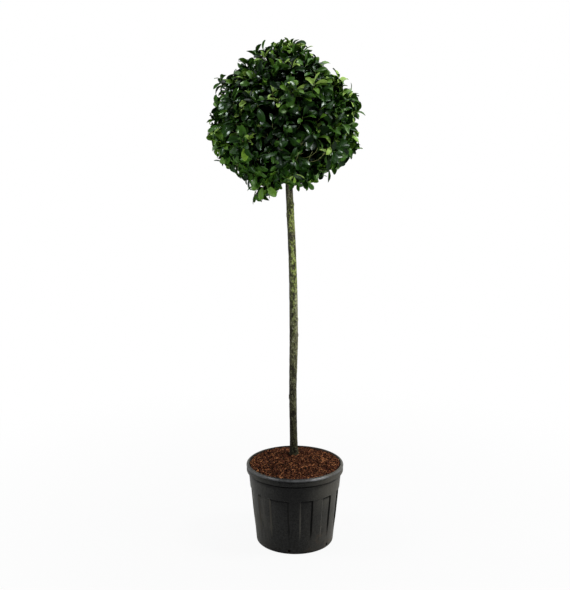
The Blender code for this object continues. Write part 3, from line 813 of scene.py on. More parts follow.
def bark_offset(wood, scars):
    """Geometry nodes for the bark's relief: swellings, pruning scars and fine cracks along the limb."""

    def build(w, place):
        right, back, _ = w.split(w.get("GeometryNodeInputNormal"))
        relief = (w.noise(w.stretch(place, 0.6), 48.0, 3.0, 0.65) - 0.5) * (2.0 * wood.lump_height)
        cracks = w.ramp(w.noise(w.stretch(place, 0.14), 330.0, 4.0, 0.6), 0.34, 0.52, -1.0, 0.0)
        relief = relief + cracks * wood.fissure_depth
        for middle, radius in scars:
            off_ring = w.vector("DISTANCE", place, tuple(middle), out=1) / radius - SCAR_RING
            relief = relief + w.math("EXPONENT", abs(off_ring) ** 2.0 * -SCAR_SHARPNESS) * wood.scar_height
        return w.vector("MULTIPLY", w.join(right, back, 0.0), w.join(relief, relief, relief))

    return build


def pruning_scars(count, chance):
    """Places on the stem's skin where side shoots were cut off: (middle, radius)."""
    scars = []
    for k in range(count):
        z = STEM_FOOT_Z + SCAR_LOWEST + SCAR_SPAN * (k + chance.uniform(0.2, 0.8)) / count
        middle, radius = stem_at(z)
        turn = chance.uniform(0.0, 2.0 * math.pi)
        side = Vector((math.cos(turn), math.sin(turn), 0.0))
        scars.append((middle + side * radius, chance.uniform(*SCAR_RADII)))
    return scars


def make_stem():
    """The stem, drawn from two rings below the compost and cut flat on it, and its boughs."""
    wood = settings().wood
    length = STEM_COURSE[-1][0]
    count = round(length / wood.ring_step)
    course = []
    for k in range(-2, count + 1):
        height = length * k / count
        middle, radius = stem_at(STEM_FOOT_Z + max(height, 0.0))
        middle.z = STEM_FOOT_Z + height
        course.append((middle, radius + FLARE_SPREAD * math.exp(-max(height, 0.0) / FLARE_HEIGHT)))
    stem = round_path("stem_bark", [course], STEM_SIDES)
    shape_by_nodes(stem, "bark relief", bark_offset(wood, pruning_scars(SCARS, random.Random(SCAR_SEED))))
    activate(stem)
    bpy.ops.object.mode_set(mode="EDIT")
    bpy.ops.mesh.select_all(action="SELECT")
    bpy.ops.mesh.bisect(plane_co=(0.0, 0.0, STEM_FOOT_Z), plane_no=UP, use_fill=True, clear_inner=True)
    bpy.ops.object.mode_set(mode="OBJECT")
    bark = bark_material(wood)
    dress(stem, "bark", bark)
    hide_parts("trunk")
    boughs = round_path("boughs_bark", [bough_course(*member[1:]) for member in ring_members()], BOUGH_SIDES)
    shape_by_nodes(boughs, "bough relief", bark_offset(wood, []))
    dress(boughs, "bark", bark)
    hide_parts(*BOUGH_NODES)


def bough_course(azimuth, elevation, start_height, base, tip):
    """A bough's path of (point, radius), thicker at its collar where it leaves the stem."""
    points = limb_course(azimuth, elevation, start_height)
    course = []
    for k, point in enumerate(points):
        t = k / (len(points) - 1)
        collar = COLLAR * base * math.exp(-((t - COLLAR_MIDDLE) / COLLAR_SPREAD) ** 2)
        course.append((point, base + (tip - base) * t + collar))
    return course


# Crown


def crown_reach(direction):
    """Distance from the crown's centre to its outline along a direction."""
    flat = math.hypot(direction.x, direction.y) / CROWN_RADIUS
    tall = direction.z / (CROWN_RISE if direction.z > 0.0 else CROWN_DROP)
    reach = 1.0 / math.hypot(flat, tall)
    for spray, extra, spread in SPRAY_REACHES:
        away = math.degrees(direction.angle(spray))
        if away < 4.0 * spread:
            reach += extra * math.exp(-0.5 * (away / spread) ** 2)
    return reach


SPRAY_REACHES = [(unit(azimuth, elevation), *reach) for azimuth, elevation, *reach in CROWN_SPRAYS]


def crown_share(point):
    """How far out a point lies: 0 at the crown's centre and 1 on its outline."""
    offset = point - CROWN_CENTRE
    return offset.length / crown_reach(offset.normalized())


@dataclass
class Cell:
    """One mass's own space: a convex cell of the crown, and where its stem enters."""

    name: str
    out: Vector
    entry: Vector
    along: Vector
    stem_radius: float
    site: Vector = None
    sides: list = field(default_factory=list)

    def add_side(self, point, normal, gap=0.0):
        """Bound the cell by a plane: its normal points out, and the gap is kept inside it."""
        self.sides.append((point, normal, gap))

    def room(self, point):
        """Distance from a point to the cell's nearest side, negative outside."""
        return min((edge - point).dot(normal) - gap for edge, normal, gap in self.sides)

    def pull_in(self, point, room):
        """Move a point until it has this much room on all sides."""
        for _ in range(20):
            edge, normal, gap = min(self.sides, key=lambda side: (side[0] - point).dot(side[1]) - side[2])
            short = room + gap - (edge - point).dot(normal)
            if short <= 0.0:
                break
            point = point - normal * short
        return point


def make_cells():
    """Share the crown out: each cell lies nearer to its own site than to any other."""
    middle = heart()
    cells = []
    for name, azimuth, elevation, start, _, tip_radius in ring_members():
        course = limb_course(azimuth, elevation, start)
        along = (course[-1] - course[-2]).normalized()
        cell = Cell(f"foliage_{name}", unit(azimuth, elevation), course[-1], along, tip_radius)
        cell.add_side(middle + cell.out * LIMB_ZONE, -cell.out)
        cell.add_side(middle + unit(azimuth, 0.0) * STEM_ZONE, -unit(azimuth, 0.0))
        cells.append(cell)
    top = Cell("foliage_top", UP, stem_at(stem_tip_z())[0], UP, TOP_STEM_RADIUS)
    top.add_side(top.entry, -UP)
    cells.append(top)
    for cell in cells:
        cell.site = CROWN_CENTRE + cell.out * crown_reach(cell.out) * SITE_SHARE
    for cell in cells:
        for other in cells:
            if other is not cell:
                apart = other.site - cell.site
                cell.add_side(cell.site + apart * 0.5, apart.normalized(), 0.5 * CELL_GAP)
    return cells


# Share of the shoots above the crown's widest level, their least angle to a longer spray in degrees,
# their scatter, how their depths vary, the room that they keep to their cell's sides, and how far the
# inner shoots' lattice is turned from the outer one, in degrees
UPPER_SHARE = 0.6
SHOOT_SPACING = 5.0
SHOOT_SCATTER = 0.05
DEPTH_RANGE = (0.5, 1.6)
SHOOT_ROOM = 0.003
INNER_TURN = 61.0
# Places where the foliage is thin and the twigs show: (azimuth, elevation, spread, share of shoots missing)
THIN_PLACES = (
    (-65.0, -9.0, 13.0, 0.78),
    (-101.0, 0.0, 9.0, 0.6),
    (-75.0, 55.0, 8.0, 0.55),
    (-108.0, 25.0, 9.0, 0.55),
    (-62.0, 18.0, 8.0, 0.5),
    (-30.0, -35.0, 10.0, 0.4),
    (15.0, 40.0, 9.0, 0.45),
    (60.0, 5.0, 10.0, 0.5),
    (110.0, 35.0, 9.0, 0.5),
    (150.0, -10.0, 10.0, 0.5),
    (200.0, 20.0, 9.0, 0.5),
    (180.0, -62.0, 16.0, 0.62),
)


# Single sprigs that stand out of the ball: (shoot's tip, its heading, leaves, their size, tint level)
# Their tint levels are partly painted light and shade: lighter on the top and right, darker on the left and
# back
SPRIGS = (
    ((-0.112, -0.03, 1.324), (-0.42, -0.22, -0.88), 8, 1.15, 1.9),
    ((-0.262, 0.03, 1.512), (-0.85, 0.0, 0.5), 8, 1.0, 2.8),
    ((-0.134, 0.03, 1.764), (-0.25, 0.0, 1.0), 9, 1.1, 3.1),
    ((0.202, 0.03, 1.578), (0.75, 0.0, 0.45), 8, 0.95, 3.2),
    ((0.004, -0.04, 1.332), (0.05, -0.4, -0.9), 6, 0.75, 2.8),
    ((0.172, -0.035, 1.461), (0.85, -0.3, -0.12), 8, 1.15, 2.9),
    ((0.188, 0.0, 1.508), (0.75, -0.35, 0.6), 7, 0.95, 1.7),
    ((0.186, 0.03, 1.636), (0.6, -0.4, 0.75), 8, 0.95, 1.8),
    ((0.152, 0.03, 1.69), (0.5, -0.5, 0.85), 9, 1.05, 1.7),
    ((0.078, 0.02, 1.73), (0.25, -0.45, 0.95), 8, 1.0, 1.8),
    ((0.004, 0.03, 1.768), (0.12, -0.5, 1.0), 9, 1.08, 1.3),
    ((-0.034, 0.04, 1.79), (-0.05, -0.45, 1.0), 9, 1.05, 1.4),
    ((-0.013, -0.012, 1.788), (0.0, -0.6, 0.8), 9, 1.15, 1.2),
    ((0.022, -0.012, 1.772), (0.3, -0.5, 0.8), 9, 1.05, 1.4),
    ((0.139, -0.06, 1.672), (0.45, -0.55, 0.75), 9, 1.05, 1.6),
    ((0.16, -0.05, 1.64), (0.6, -0.45, 0.65), 9, 1.0, 1.8),
    ((-0.112, 0.03, 1.778), (-0.15, -0.4, 1.0), 9, 1.05, 3.0),
    ((-0.148, 0.03, 1.722), (-0.3, 0.0, 0.95), 8, 1.05, 3.0),
    ((-0.194, 0.03, 1.688), (-0.45, 0.0, 0.85), 7, 1.0, 3.6),
    ((-0.212, 0.02, 1.66), (-0.85, -0.05, 0.45), 7, 1.05, 3.0),
    ((-0.246, 0.03, 1.52), (-0.8, 0.0, 0.5), 8, 0.95, 2.8),
    ((-0.238, 0.0, 1.432), (-0.8, -0.1, 0.25), 7, 0.95, 2.8),
    ((0.036, -0.04, 1.338), (0.3, -0.3, -0.85), 7, 0.85, 2.6),
    ((0.116, -0.02, 1.388), (0.55, -0.25, -0.6), 7, 1.0, 2.4),
    ((-0.02, -0.17, 1.64), (0.05, -0.45, 0.9), 9, 1.05, 1.9),
    ((0.06, -0.145, 1.668), (0.25, -0.4, 0.9), 9, 1.0, 1.7),
    ((0.02, 0.205, 1.67), (0.1, 0.45, 0.9), 9, 1.0, 1.6),
    ((-0.13, 0.18, 1.695), (-0.3, 0.4, 0.9), 9, 1.0, 2.0),
    ((0.085, 0.21, 1.545), (0.4, 0.8, 0.5), 8, 1.0, 2.2),
    ((-0.175, 0.19, 1.47), (-0.6, 0.75, 0.2), 8, 1.0, 3.0),
    ((0.02, 0.145, 1.352), (0.2, 0.6, -0.7), 7, 1.05, 2.6),
)
# Bare twigs that show in the thin places: (from, to)
BARE_TWIGS = (
    ((0.004, -0.085, 1.392), (0.036, -0.178, 1.492)),
    ((0.012, -0.08, 1.398), (0.074, -0.176, 1.47)),
    ((0.03, -0.08, 1.402), (0.054, -0.174, 1.446)),
    ((0.03, -0.07, 1.412), (0.105, -0.156, 1.456)),
    ((0.05, -0.06, 1.42), (0.15, -0.11, 1.478)),
    ((0.0, -0.09, 1.4), (0.02, -0.192, 1.474)),
    ((0.02, -0.09, 1.396), (0.092, -0.168, 1.44)),
    ((0.02, -0.085, 1.4), (0.06, -0.188, 1.504)),
    ((-0.01, -0.09, 1.39), (0.008, -0.188, 1.442)),
    ((-0.03, -0.09, 1.42), (-0.042, -0.196, 1.528)),
    ((-0.06, -0.08, 1.43), (-0.095, -0.182, 1.505)),
    ((0.02, 0.12, 1.41), (0.06, 0.214, 1.5)),
    ((-0.08, 0.11, 1.41), (-0.13, 0.208, 1.485)),
    ((0.07, 0.04, 1.42), (0.165, 0.06, 1.455)),
)


def even_directions(count, turn):
    """Directions to the shoots: the longer sprays, and a spiral lattice in between."""
    sprays = [unit(azimuth, elevation) for azimuth, elevation, extra, _ in CROWN_SPRAYS if extra > 0.0]
    lattice = []
    for k in range(count):
        rise = 1.0 - (k + 0.5) / count / UPPER_SHARE
        if rise < 0.0:
            rise *= UPPER_SHARE / (1.0 - UPPER_SHARE)
        direction = unit(math.degrees(k * GOLDEN_TURN) + turn, math.degrees(math.asin(rise)))
        if min(direction.angle(spray) for spray in sprays) > math.radians(SHOOT_SPACING):
            lattice.append(direction)
    return sprays + lattice


def thinness(direction):
    """Share of the shoots that are missing in a direction."""
    missing = 0.0
    for azimuth, elevation, spread, loss in THIN_PLACES:
        away = math.degrees(direction.angle(unit(azimuth, elevation)))
        missing = max(missing, loss * math.exp(-0.5 * (away / spread) ** 2))
    return missing


def scatter(chance, spreads):
    return Vector([chance.gauss(0.0, spread) for spread in spreads])


def share_shoots(cells, chance):
    """Set the shoots' tips inside the crown's outline and give each to its cell."""
    sizes = settings().leaves
    served = {cell.name: [] for cell in cells}
    for count, depth, turn, layer in (
        (sizes.outer_shoots, sizes.outer_depth, 0.0, "outer"),
        (sizes.inner_shoots, sizes.inner_depth, INNER_TURN, "inner"),
    ):
        for direction in even_directions(count, turn):
            if layer == "outer" and chance.random() < thinness(direction):
                continue
            direction = (direction + scatter(chance, (SHOOT_SCATTER,) * 3)).normalized()
            depth_here = depth * chance.uniform(*DEPTH_RANGE)
            tip = CROWN_CENTRE + direction * (crown_reach(direction) - depth_here)
            cell = max(cells, key=lambda each: each.room(tip))
            served[cell.name].append((cell.pull_in(tip, SHOOT_ROOM), layer))
    return served


def spread_split(tips):
    """Split shoot tips in two across their widest spread."""
    middle = sum((tip for tip, _ in tips), Vector()) / len(tips)
    far = max(tips, key=lambda each: (each[0] - middle).length)[0]
    other = max(tips, key=lambda each: (each[0] - far).length)[0]
    axis = (other - far).normalized()
    ordered = sorted(tips, key=lambda each: (each[0] - middle).dot(axis))
    half = len(ordered) // 2
    return ordered[:half], ordered[half:]


@dataclass
class Shoot:
    """A leafy shoot: its course, and how its leaves differ if it is a single sprig."""

    points: list
    radius: float
    layer: str
    count: int = None
    scale: float = 1.0
    level: float = None


class Growth:
    """The twigs and shoots of the crown, grown cell by cell."""

    def __init__(self, chance):
        self.chance = chance
        self.twigs = []
        self.shoots = []

    def rising(self, start, tip, onward=None):
        """A shoot's course, which ends turned out of the crown and up."""
        outward = (tip - CROWN_CENTRE).normalized()
        stray = scatter(self.chance, SHOOT_STRAY)
        climb = 1.0
        if outward.z <= LEAST_CLIMBING:
            climb = max(0.1, 1.0 + 1.3 * (outward.z - LEAST_CLIMBING))
        onward = onward or (outward * SHOOT_OUTWARD + UP * climb + stray).normalized()
        return arch(start, tip - onward * (tip - start).length * SHOOT_TURN, tip, 7)

    def grow(self, start, lead, radius, tips):
        """Fork from a stem until each twig serves one shoot tip."""
        if len(tips) == 1:
            tip, layer = tips[0]
            self.shoots.append(Shoot(self.rising(start, tip), radius, layer))
            return
        middle = sum((tip for tip, _ in tips), Vector()) / len(tips)
        fork = start.lerp(middle, FORK_SHARE)
        thinner = max(radius * FORK_THINNING, TWIG_TIP_RADIUS)
        bend = start.lerp(fork, FORK_BEND[0]) + lead * (fork - start).length * FORK_BEND[1]
        points = arch(start, bend, fork, 5)
        self.twigs.append((points, radius, thinner))
        onward = (points[-1] - points[-2]).normalized()
        for part in spread_split(tips):
            self.grow(fork, onward, thinner, part)

    def nearest_fork(self, place):
        return min((points[-1] for points, _, _ in self.twigs), key=lambda fork: (fork - place).length)

    def add_sprigs(self):
        """The single sprigs and bare twigs, each grown on from the nearest fork."""
        for tip, heading, count, scale, level in SPRIGS:
            tip, heading = Vector(tip), Vector(heading).normalized()
            start = self.nearest_fork(tip - heading * 0.1)
            points = self.rising(start, tip, heading)
            self.shoots.append(Shoot(points, TWIG_TIP_RADIUS, "outer", count, scale, level))
        for start, tip in BARE_TWIGS:
            start = self.nearest_fork(Vector(start))
            self.shoots.append(Shoot(self.rising(start, Vector(tip)), TWIG_TIP_RADIUS, "outer", 0))


def grow_crown():
    chance = random.Random(settings().leaves.seed)
    cells = make_cells()
    served = share_shoots(cells, chance)
    growth = Growth(chance)
    for cell in cells:
        end = cell.entry + cell.along * MASS_STEM_LENGTH
        start = cell.entry - cell.along * 0.001
        growth.twigs.append(([start, start.lerp(end, 0.5), end], cell.stem_radius, TWIG_RADIUS))
        growth.grow(end, cell.along, TWIG_RADIUS, served[cell.name])
    growth.add_sprigs()
    return growth


# Joined meshes of many small things


def mesh_from_arrays(name, points, faces, face_slots=None, blade_map=None):
    """An object from arrays of points and of faces that all have the same number of corners."""
    mesh = bpy.data.meshes.new(name)
    corners = faces.shape[1]
    mesh.vertices.add(len(points))
    mesh.vertices.foreach_set("co", points.astype(np.float32).ravel())
    mesh.loops.add(faces.size)
    mesh.loops.foreach_set("vertex_index", faces.astype(np.int32).ravel())
    mesh.polygons.add(len(faces))
    mesh.polygons.foreach_set("loop_start", np.arange(0, faces.size, corners, dtype=np.int32))
    mesh.polygons.foreach_set("use_smooth", np.ones(len(faces), bool))
    if face_slots is not None:
        mesh.polygons.foreach_set("material_index", face_slots.astype(np.int32))
    if blade_map is not None:
        layer = mesh.uv_layers.new(name="blade")
        layer.data.foreach_set("uv", blade_map[faces.ravel()].astype(np.float32).ravel())
    mesh.update(calc_edges=True)
    made = bpy.data.objects.new(name, mesh)
    bpy.context.scene.collection.objects.link(made)
    return made


def tubes(runs, sides):
    """Points and faces of round twigs: each run is (points, first radius, last radius)."""
    all_points, all_faces = [], []
    base = 0
    turns = np.linspace(0.0, 2.0 * np.pi, sides, endpoint=False)
    cos, sin = np.cos(turns)[:, None], np.sin(turns)[:, None]
    for points, first, last in runs:
        count = len(points)
        line = np.array(points)
        course = np.gradient(line, axis=0)
        course /= np.linalg.norm(course, axis=1)[:, None]
        across = np.array(Vector(course[0]).orthogonal().normalized())
        radii = np.linspace(first, last, count)
        for k in range(count):
            across = across - course[k] * across.dot(course[k])
            across /= np.linalg.norm(across)
            beside = np.cross(course[k], across)
            all_points.append(line[k] + radii[k] * (cos * across + sin * beside))
        ring = np.arange(sides)
        after = (ring + 1) % sides
        for k in range(count - 1):
            low, high = base + k * sides, base + (k + 1) * sides
            all_faces.append(np.stack((low + ring, low + after, high + after, high + ring), 1))
        base += count * sides
    return np.concatenate(all_points), np.concatenate(all_faces)


def make_twigs(growth):
    wood = settings().wood
    points, faces = tubes(growth.twigs, TWIG_SIDES)
    twigs = mesh_from_arrays("twigs_woody", points, faces)
    dress(twigs, "bark", twig_material("woody_twig", wood.twig, 0.45, 0.78))
    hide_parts(*FOLIAGE_NODES)
    runs = [(shoot.points, max(shoot.radius, TWIG_TIP_RADIUS), SHOOT_TIP_RADIUS) for shoot in growth.shoots]
    points, faces = tubes(runs, SHOOT_SIDES)
    shoots = mesh_from_arrays("shoots_green", points, faces)
    dress(shoots, "bark", twig_material("green_shoot", wood.shoot, 0.55, 0.55))
    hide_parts(*FOLIAGE_NODES)


# Leaves

# Where a leaf's rows of points lie along it, its stalk, and the midrib's share of its width
STATIONS = np.array([0.0, 0.11, 0.25, 0.43, 0.61, 0.78, 0.92, 1.0])
STALK_SHARE = 0.11
RIB_SHARE = 0.075
STALK_HALF_WIDTH = 0.055
TIP_HALF_WIDTH = 0.12
TINTS = ("young", "fresh", "bright", "grown", "deep", "old", "shade")
# Roughness of the upper side, and how much of the usual shine it has
TINT_GLOSS = {
    "young": (0.4, 0.24),
    "fresh": (0.37, 0.26),
    "bright": (0.33, 0.28),
    "grown": (0.29, 0.3),
    "deep": (0.25, 0.32),
    "old": (0.27, 0.18),
    "shade": (0.6, 0.02),
}
LEAF_THICKNESS = 0.00045
LEAF_STEP = 0.0062
# How leaves vary in length, in width, in their curl, in fold (degrees), in roll and in twist
LENGTH_RANGE = (0.76, 1.12)
WIDTH_RANGE = (0.88, 1.1)
CURL_RANGE = (0.65, 1.35)
FOLD_RANGE = (16.0, 48.0)
ROLL_SPREAD = 0.6
TWIST_SPREAD = 0.35
# The newest leaves of a flush: how many, and how much shorter and narrower they are
NEWEST = 4
NEWEST_LENGTH = 0.92
NEWEST_WIDTH = 0.88
# Share of the full length that the leaf at a tip has, and what the older ones gain on it
SHOOT_GROWTH = (0.6, 0.4)
SPRIG_GROWTH = (0.8, 0.2)
# Sprigs have wider leaves and may pass the outline, and those with a low tint level are young
SPRIG_WIDTH = 1.12
SPRIG_LIMIT = 1.25
SPRIG_YOUNG_LEVEL = 1.75
# How far leaves open from the shoot's axis, at its tip and at its oldest leaf, in degrees
LEAN = (26.0, 78.0)
# A leaf that would pass the crown's outline is tried again: (share of its length, more lean)
LEAF_TRIES = ((1.0, 0.0), (1.0, 14.0), (0.94, -12.0), (0.88, 22.0), (0.8, 32.0), (0.72, 10.0))
# Corners that no leaf's tip may pass
BOX_LOW = Vector((-0.313, -0.238, 1.2))
BOX_HIGH = Vector((0.256, 0.315, 1.877))


def blade_outline():
    """Half width of a leaf at its stations, 1 at the widest: a stalk, then an obovate blade."""
    along = np.clip((STATIONS - STALK_SHARE) / (1.0 - STALK_SHARE), 0.0, 1.0)
    half = np.maximum(np.sin(np.pi * along ** 1.45) ** 0.64, STALK_HALF_WIDTH)
    half[-1] = TIP_HALF_WIDTH
    return half


def leaf_template():
    """Faces of one leaf, their slots (0 upper, 1 midrib, 2 under) and its blade map."""
    rows = len(STATIONS)
    faces, slots = [], []
    for row in range(rows - 1):
        for column in range(3):
            a = row * 4 + column
            faces.append((a, a + 1, a + 5, a + 4))
            slots.append(1 if column == 1 else 0)
    under = rows * 4
    for row in range(rows - 1):
        for column in range(2):
            a = under + row * 3 + column
            faces.append((a + 3, a + 4, a + 1, a))
            slots.append(2)
    upper_map = [(t, v) for t in STATIONS for v in (0.0, 0.5 - 0.5 * RIB_SHARE, 0.5 + 0.5 * RIB_SHARE, 1.0)]
    under_map = [(t, v) for t in STATIONS for v in (0.0, 0.5, 1.0)]
    return np.array(faces), np.array(slots), np.array(upper_map + under_map)


def swung(first, second, turn):
    """The first direction turned towards the second, for each leaf and station."""
    return first * np.cos(turn)[..., None] + second * np.sin(turn)[..., None]


def leaf_points(leaves):
    """Points of many leaves at once, from an array with one row a leaf."""
    root, along, lift = leaves[:, None, 0:3], leaves[:, None, 3:6], leaves[:, None, 6:9]
    length, half_width, curl, fold, twist, phase = leaves[:, 9:15].T[..., None]
    count, rows = len(leaves), len(STATIONS)
    bend = curl * STATIONS ** 1.25
    ahead = swung(along, -lift, 0.5 * (bend[:, 1:] + bend[:, :-1]))
    steps = ahead * (np.diff(STATIONS) * length)[..., None]
    line = np.concatenate((np.zeros((count, 1, 3)), np.cumsum(steps, axis=1)), axis=1) + root
    course = swung(along, -lift, bend)
    across = swung(np.cross(along, lift), swung(lift, along, bend), twist * STATIONS)
    above = np.cross(across, course)
    half = blade_outline() * half_width
    opened = fold * (1.0 - 0.45 * STATIONS)
    points = np.empty((count, rows * 7, 3))
    for index, column in enumerate((-1.0, -RIB_SHARE, RIB_SHARE, 1.0)):
        reach = abs(column) * half
        wave = 0.05 * half * np.sin(9.0 * STATIONS + phase + 1.7 * column) * abs(column)
        out = math.copysign(1.0, column) * reach * np.cos(opened)
        rise = reach * np.sin(opened) + wave
        points[:, index:rows * 4:4] = line + across * out[..., None] + above * rise[..., None]
    edge_drop = above * 0.3 * LEAF_THICKNESS
    points[:, rows * 4::3] = points[:, 0:rows * 4:4] - edge_drop
    points[:, rows * 4 + 1::3] = line - above * LEAF_THICKNESS
    points[:, rows * 4 + 2::3] = points[:, 3:rows * 4:4] - edge_drop
    return points


def tint_for(layer, place, depth, rank, chance):
    """A leaf's tint from its age, with painted light and shade from its shoot's layer and place and its
    depth in the crown.
    """
    # Inner leaves take the darkest tints as painted shade
    if layer == "inner":
        return 6 if chance.random() < 0.75 else 5
    offset = place - CROWN_CENTRE
    high = offset.z / CROWN_RISE
    right = offset.x / CROWN_RADIUS
    side = abs(right)
    spread = math.hypot(side, high)
    rim = max(0.0, spread - 0.62) / 0.38
    low = max(0.0, -high - 0.05)
    # Painted light: lighter tints on top, underneath, at the sides and towards the rim
    level = 3.78 - 1.3 * max(0.0, high - 0.6) - 1.2 * low + 0.2 * right
    level = level - 0.45 * side - 0.45 * rim + 0.2 * rank
    # Painted shade: darker tints low on the right and at the top left
    level += 1.3 * low * max(0.0, right - 0.3) + 1.0 * max(0.0, high) * max(0.0, -right)
    # Painted shade, darker in the middle, and painted light under it at the right
    level += 0.5 * max(0.0, 1.0 - 1.7 * spread) - 2.2 * low * max(0.0, 1.0 - 2.2 * abs(right - 0.22))
    level += chance.gauss(0.0, 0.72)
    # Painted shade: the deeper a leaf lies in the crown, the darker its tint
    level += min(2.8, max(0.0, depth - 0.022) / 0.017)
    return int(min(6, max(1, round(level))))


def arched_tip(root, along, lift, length, curl):
    """Where the tip of an arching leaf ends."""
    turn = 0.42 * curl
    return root + (along * math.cos(turn) - lift * math.sin(turn)) * length * (1.0 - 0.06 * curl * curl)


def in_bounds(tip, limit):
    if any(not low < value < high for value, low, high in zip(tip, BOX_LOW, BOX_HIGH)):
        return False
    return crown_share(tip) < limit


def flushing(shoot, outward, chance):
    """Whether a shoot's end carries young leaves."""
    if shoot.level is not None:
        return shoot.level < SPRIG_YOUNG_LEVEL
    likely = 0.05 + 0.24 * max(0.0, outward.z) + 0.16 * abs(outward.x)
    likely *= 1.0 if outward.z > -0.12 else 0.4
    return shoot.layer == "outer" and chance.random() < likely


def fit_leaf(root, axis, spoke, face, age, opening, roll, length, curl, limit):
    """Direction, upper side and share of length that keep a leaf inside the crown, or None."""
    for shrink, change in LEAF_TRIES:
        lean = math.radians(opening + change)
        along = axis * math.cos(lean) + spoke * math.sin(lean)
        along = (along - UP * 0.06 * age).normalized()
        side = along.cross(face)
        if side.length < 0.05:
            side = along.orthogonal()
        side = Matrix.Rotation(roll, 3, along) @ side.normalized()
        lift = side.cross(along).normalized()
        if in_bounds(arched_tip(root, along, lift, length * shrink, curl), limit):
            return along, lift, shrink
    return None


def place_leaves(growth):
    """One row for each leaf, with its tint: leaves turn round each shoot's end by the golden angle."""
    sizes = settings().leaves
    chance = random.Random(sizes.seed + 1)
    rows, tints = [], []
    for shoot in growth.shoots:
        points = shoot.points
        tip = points[-1]
        outward = (tip - CROWN_CENTRE).normalized()
        across = Vector((outward.x, outward.y, 0.0)).normalized()
        low_middle = math.exp(-((outward.z + 0.25) / 0.35) ** 2)
        sprig = shoot.level is not None
        flush = flushing(shoot, outward, chance)
        count = shoot.count
        if count is None:
            count = sizes.leaves_per_shoot + chance.choice((-2, -1, 0, 0, 1))
        length_of_shoot = sum((b - a).length for a, b in zip(points, points[1:]))
        step = min(LEAF_STEP, 0.92 * length_of_shoot / max(1, count))
        turn = chance.uniform(0.0, 2.0 * math.pi)
        mood = chance.gauss(0.0, 0.45)
        limit = SPRIG_LIMIT
        if not sprig:
            limit = chance.uniform(0.98, 1.1) - 0.08 * min(1.0, max(0.0, -1.6 * outward.z))
        for k in range(count):
            turn += GOLDEN_TURN + chance.gauss(0.0, 0.12)
            back = 0.001 + step * k * (0.7 + 0.3 * k / count)
            root, axis = point_before_tip(points, back)
            spoke = Matrix.Rotation(turn, 3, axis) @ axis.orthogonal().normalized()
            age = k / max(1, count - 1)
            opening = LEAN[0] + (LEAN[1] - LEAN[0]) * age ** 0.7 + chance.gauss(0.0, 7.0)
            smallest, growth_to_come = SPRIG_GROWTH if sprig else SHOOT_GROWTH
            grown = smallest + growth_to_come * min(1.0, age * 2.2)
            length = sizes.leaf_length * shoot.scale * grown * chance.uniform(*LENGTH_RANGE)
            length *= 1.0 + 0.08 * low_middle
            width = length * sizes.leaf_width / sizes.leaf_length * chance.uniform(*WIDTH_RANGE)
            width *= SPRIG_WIDTH if sprig else 1.0
            newest = flush and k < NEWEST
            if newest:
                length *= NEWEST_LENGTH
                width *= NEWEST_WIDTH
            hang = min(1.0, max(0.0, 0.5 - axis.z))
            curl = (0.7 + 0.8 * age) * chance.uniform(*CURL_RANGE) * (1.0 - 0.55 * hang)
            upright = min(1.0, max(0.1, axis.z + 0.4))
            face = axis * upright + UP * 0.45 + outward * 0.15 + across * 0.9 * hang
            roll = chance.gauss(0.0, ROLL_SPREAD)
            fit = fit_leaf(root, axis, spoke, face, age, opening, roll, length, curl, limit)
            if fit is None:
                continue
            along, lift, shrink = fit
            length *= shrink
            fold = math.radians(chance.uniform(*FOLD_RANGE))
            shape = (length, 0.5 * width * shrink, curl, fold)
            waves = (chance.gauss(0.0, TWIST_SPREAD), chance.uniform(0, 6.28))
            rows.append((*root, *along, *lift, *shape, *waves))
            if newest:
                tint_index = 0 if chance.random() < 0.75 else 1
            elif sprig:
                level = shoot.level + 0.9 * age + chance.gauss(0.0, 0.35)
                tint_index = int(min(5, max(1, round(level))))
            else:
                middle = root + along * length * 0.5
                depth = (1.0 - crown_share(middle)) * (middle - CROWN_CENTRE).length
                tint_index = tint_for(shoot.layer, tip, depth, 1.6 * age + mood, chance)
            tints.append(tint_index)
    return np.array(rows), np.array(tints)


def point_before_tip(points, back):
    """Point and direction a distance back from a shoot's tip."""
    for end, start in zip(reversed(points), reversed(points[:-1])):
        reach = (end - start).length
        if back <= reach:
            return end.lerp(start, back / reach), (end - start).normalized()
        back -= reach
    return points[0].copy(), (points[1] - points[0]).normalized()


def make_leaves(growth):
    leaves = settings().leaves
    rows, tints = place_leaves(growth)
    faces, slots, blade_map = leaf_template()
    for index, name in enumerate(TINTS):
        chosen = rows[tints == index]
        count = len(chosen)
        if not count:
            raise RuntimeError(f"no leaves took the tint {name}")
        points = leaf_points(chosen).reshape(-1, 3)
        starts = np.arange(count)[:, None, None] * len(blade_map)
        all_faces = (faces[None] + starts).reshape(-1, 4)
        all_slots, all_maps = np.tile(slots, count), np.tile(blade_map, (count, 1))
        made = mesh_from_arrays(f"leaves_{name}", points, all_faces, all_slots, all_maps)
        colour = tuple(getattr(leaves, name))
        roughness, shine = TINT_GLOSS[name]
        sheen = COOL_SHEEN if name in ("deep", "old") else WARM_SHEEN
        rib = tuple(min(1.0, 2.3 * value + 0.004) for value in colour)
        under = (colour[0] * 1.9, colour[1] * 1.65, colour[2] * 2.1)
        dress(
            made,
            "foliage",
            leaf_material(f"leaf_{name}", colour, roughness, shine, sheen),
            leaf_material(f"midrib_{name}", rib, 0.45, 0.4),
            leaf_material(f"underside_{name}", under, 0.6, 0.25),
        )
        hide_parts(*FOLIAGE_NODES)
    print("leaves", len(rows), "by tint", [int((tints == k).sum()) for k in range(len(TINTS))])


# Container


def arc(middle, radius, first, last, count):
    """Points (radius, height) of a rounded edge in a profile, angles in degrees."""
    points = []
    for k in range(count + 1):
        turn = math.radians(first + (last - first) * k / count)
        points.append((middle[0] + radius * math.cos(turn), middle[1] + radius * math.sin(turn)))
    return points


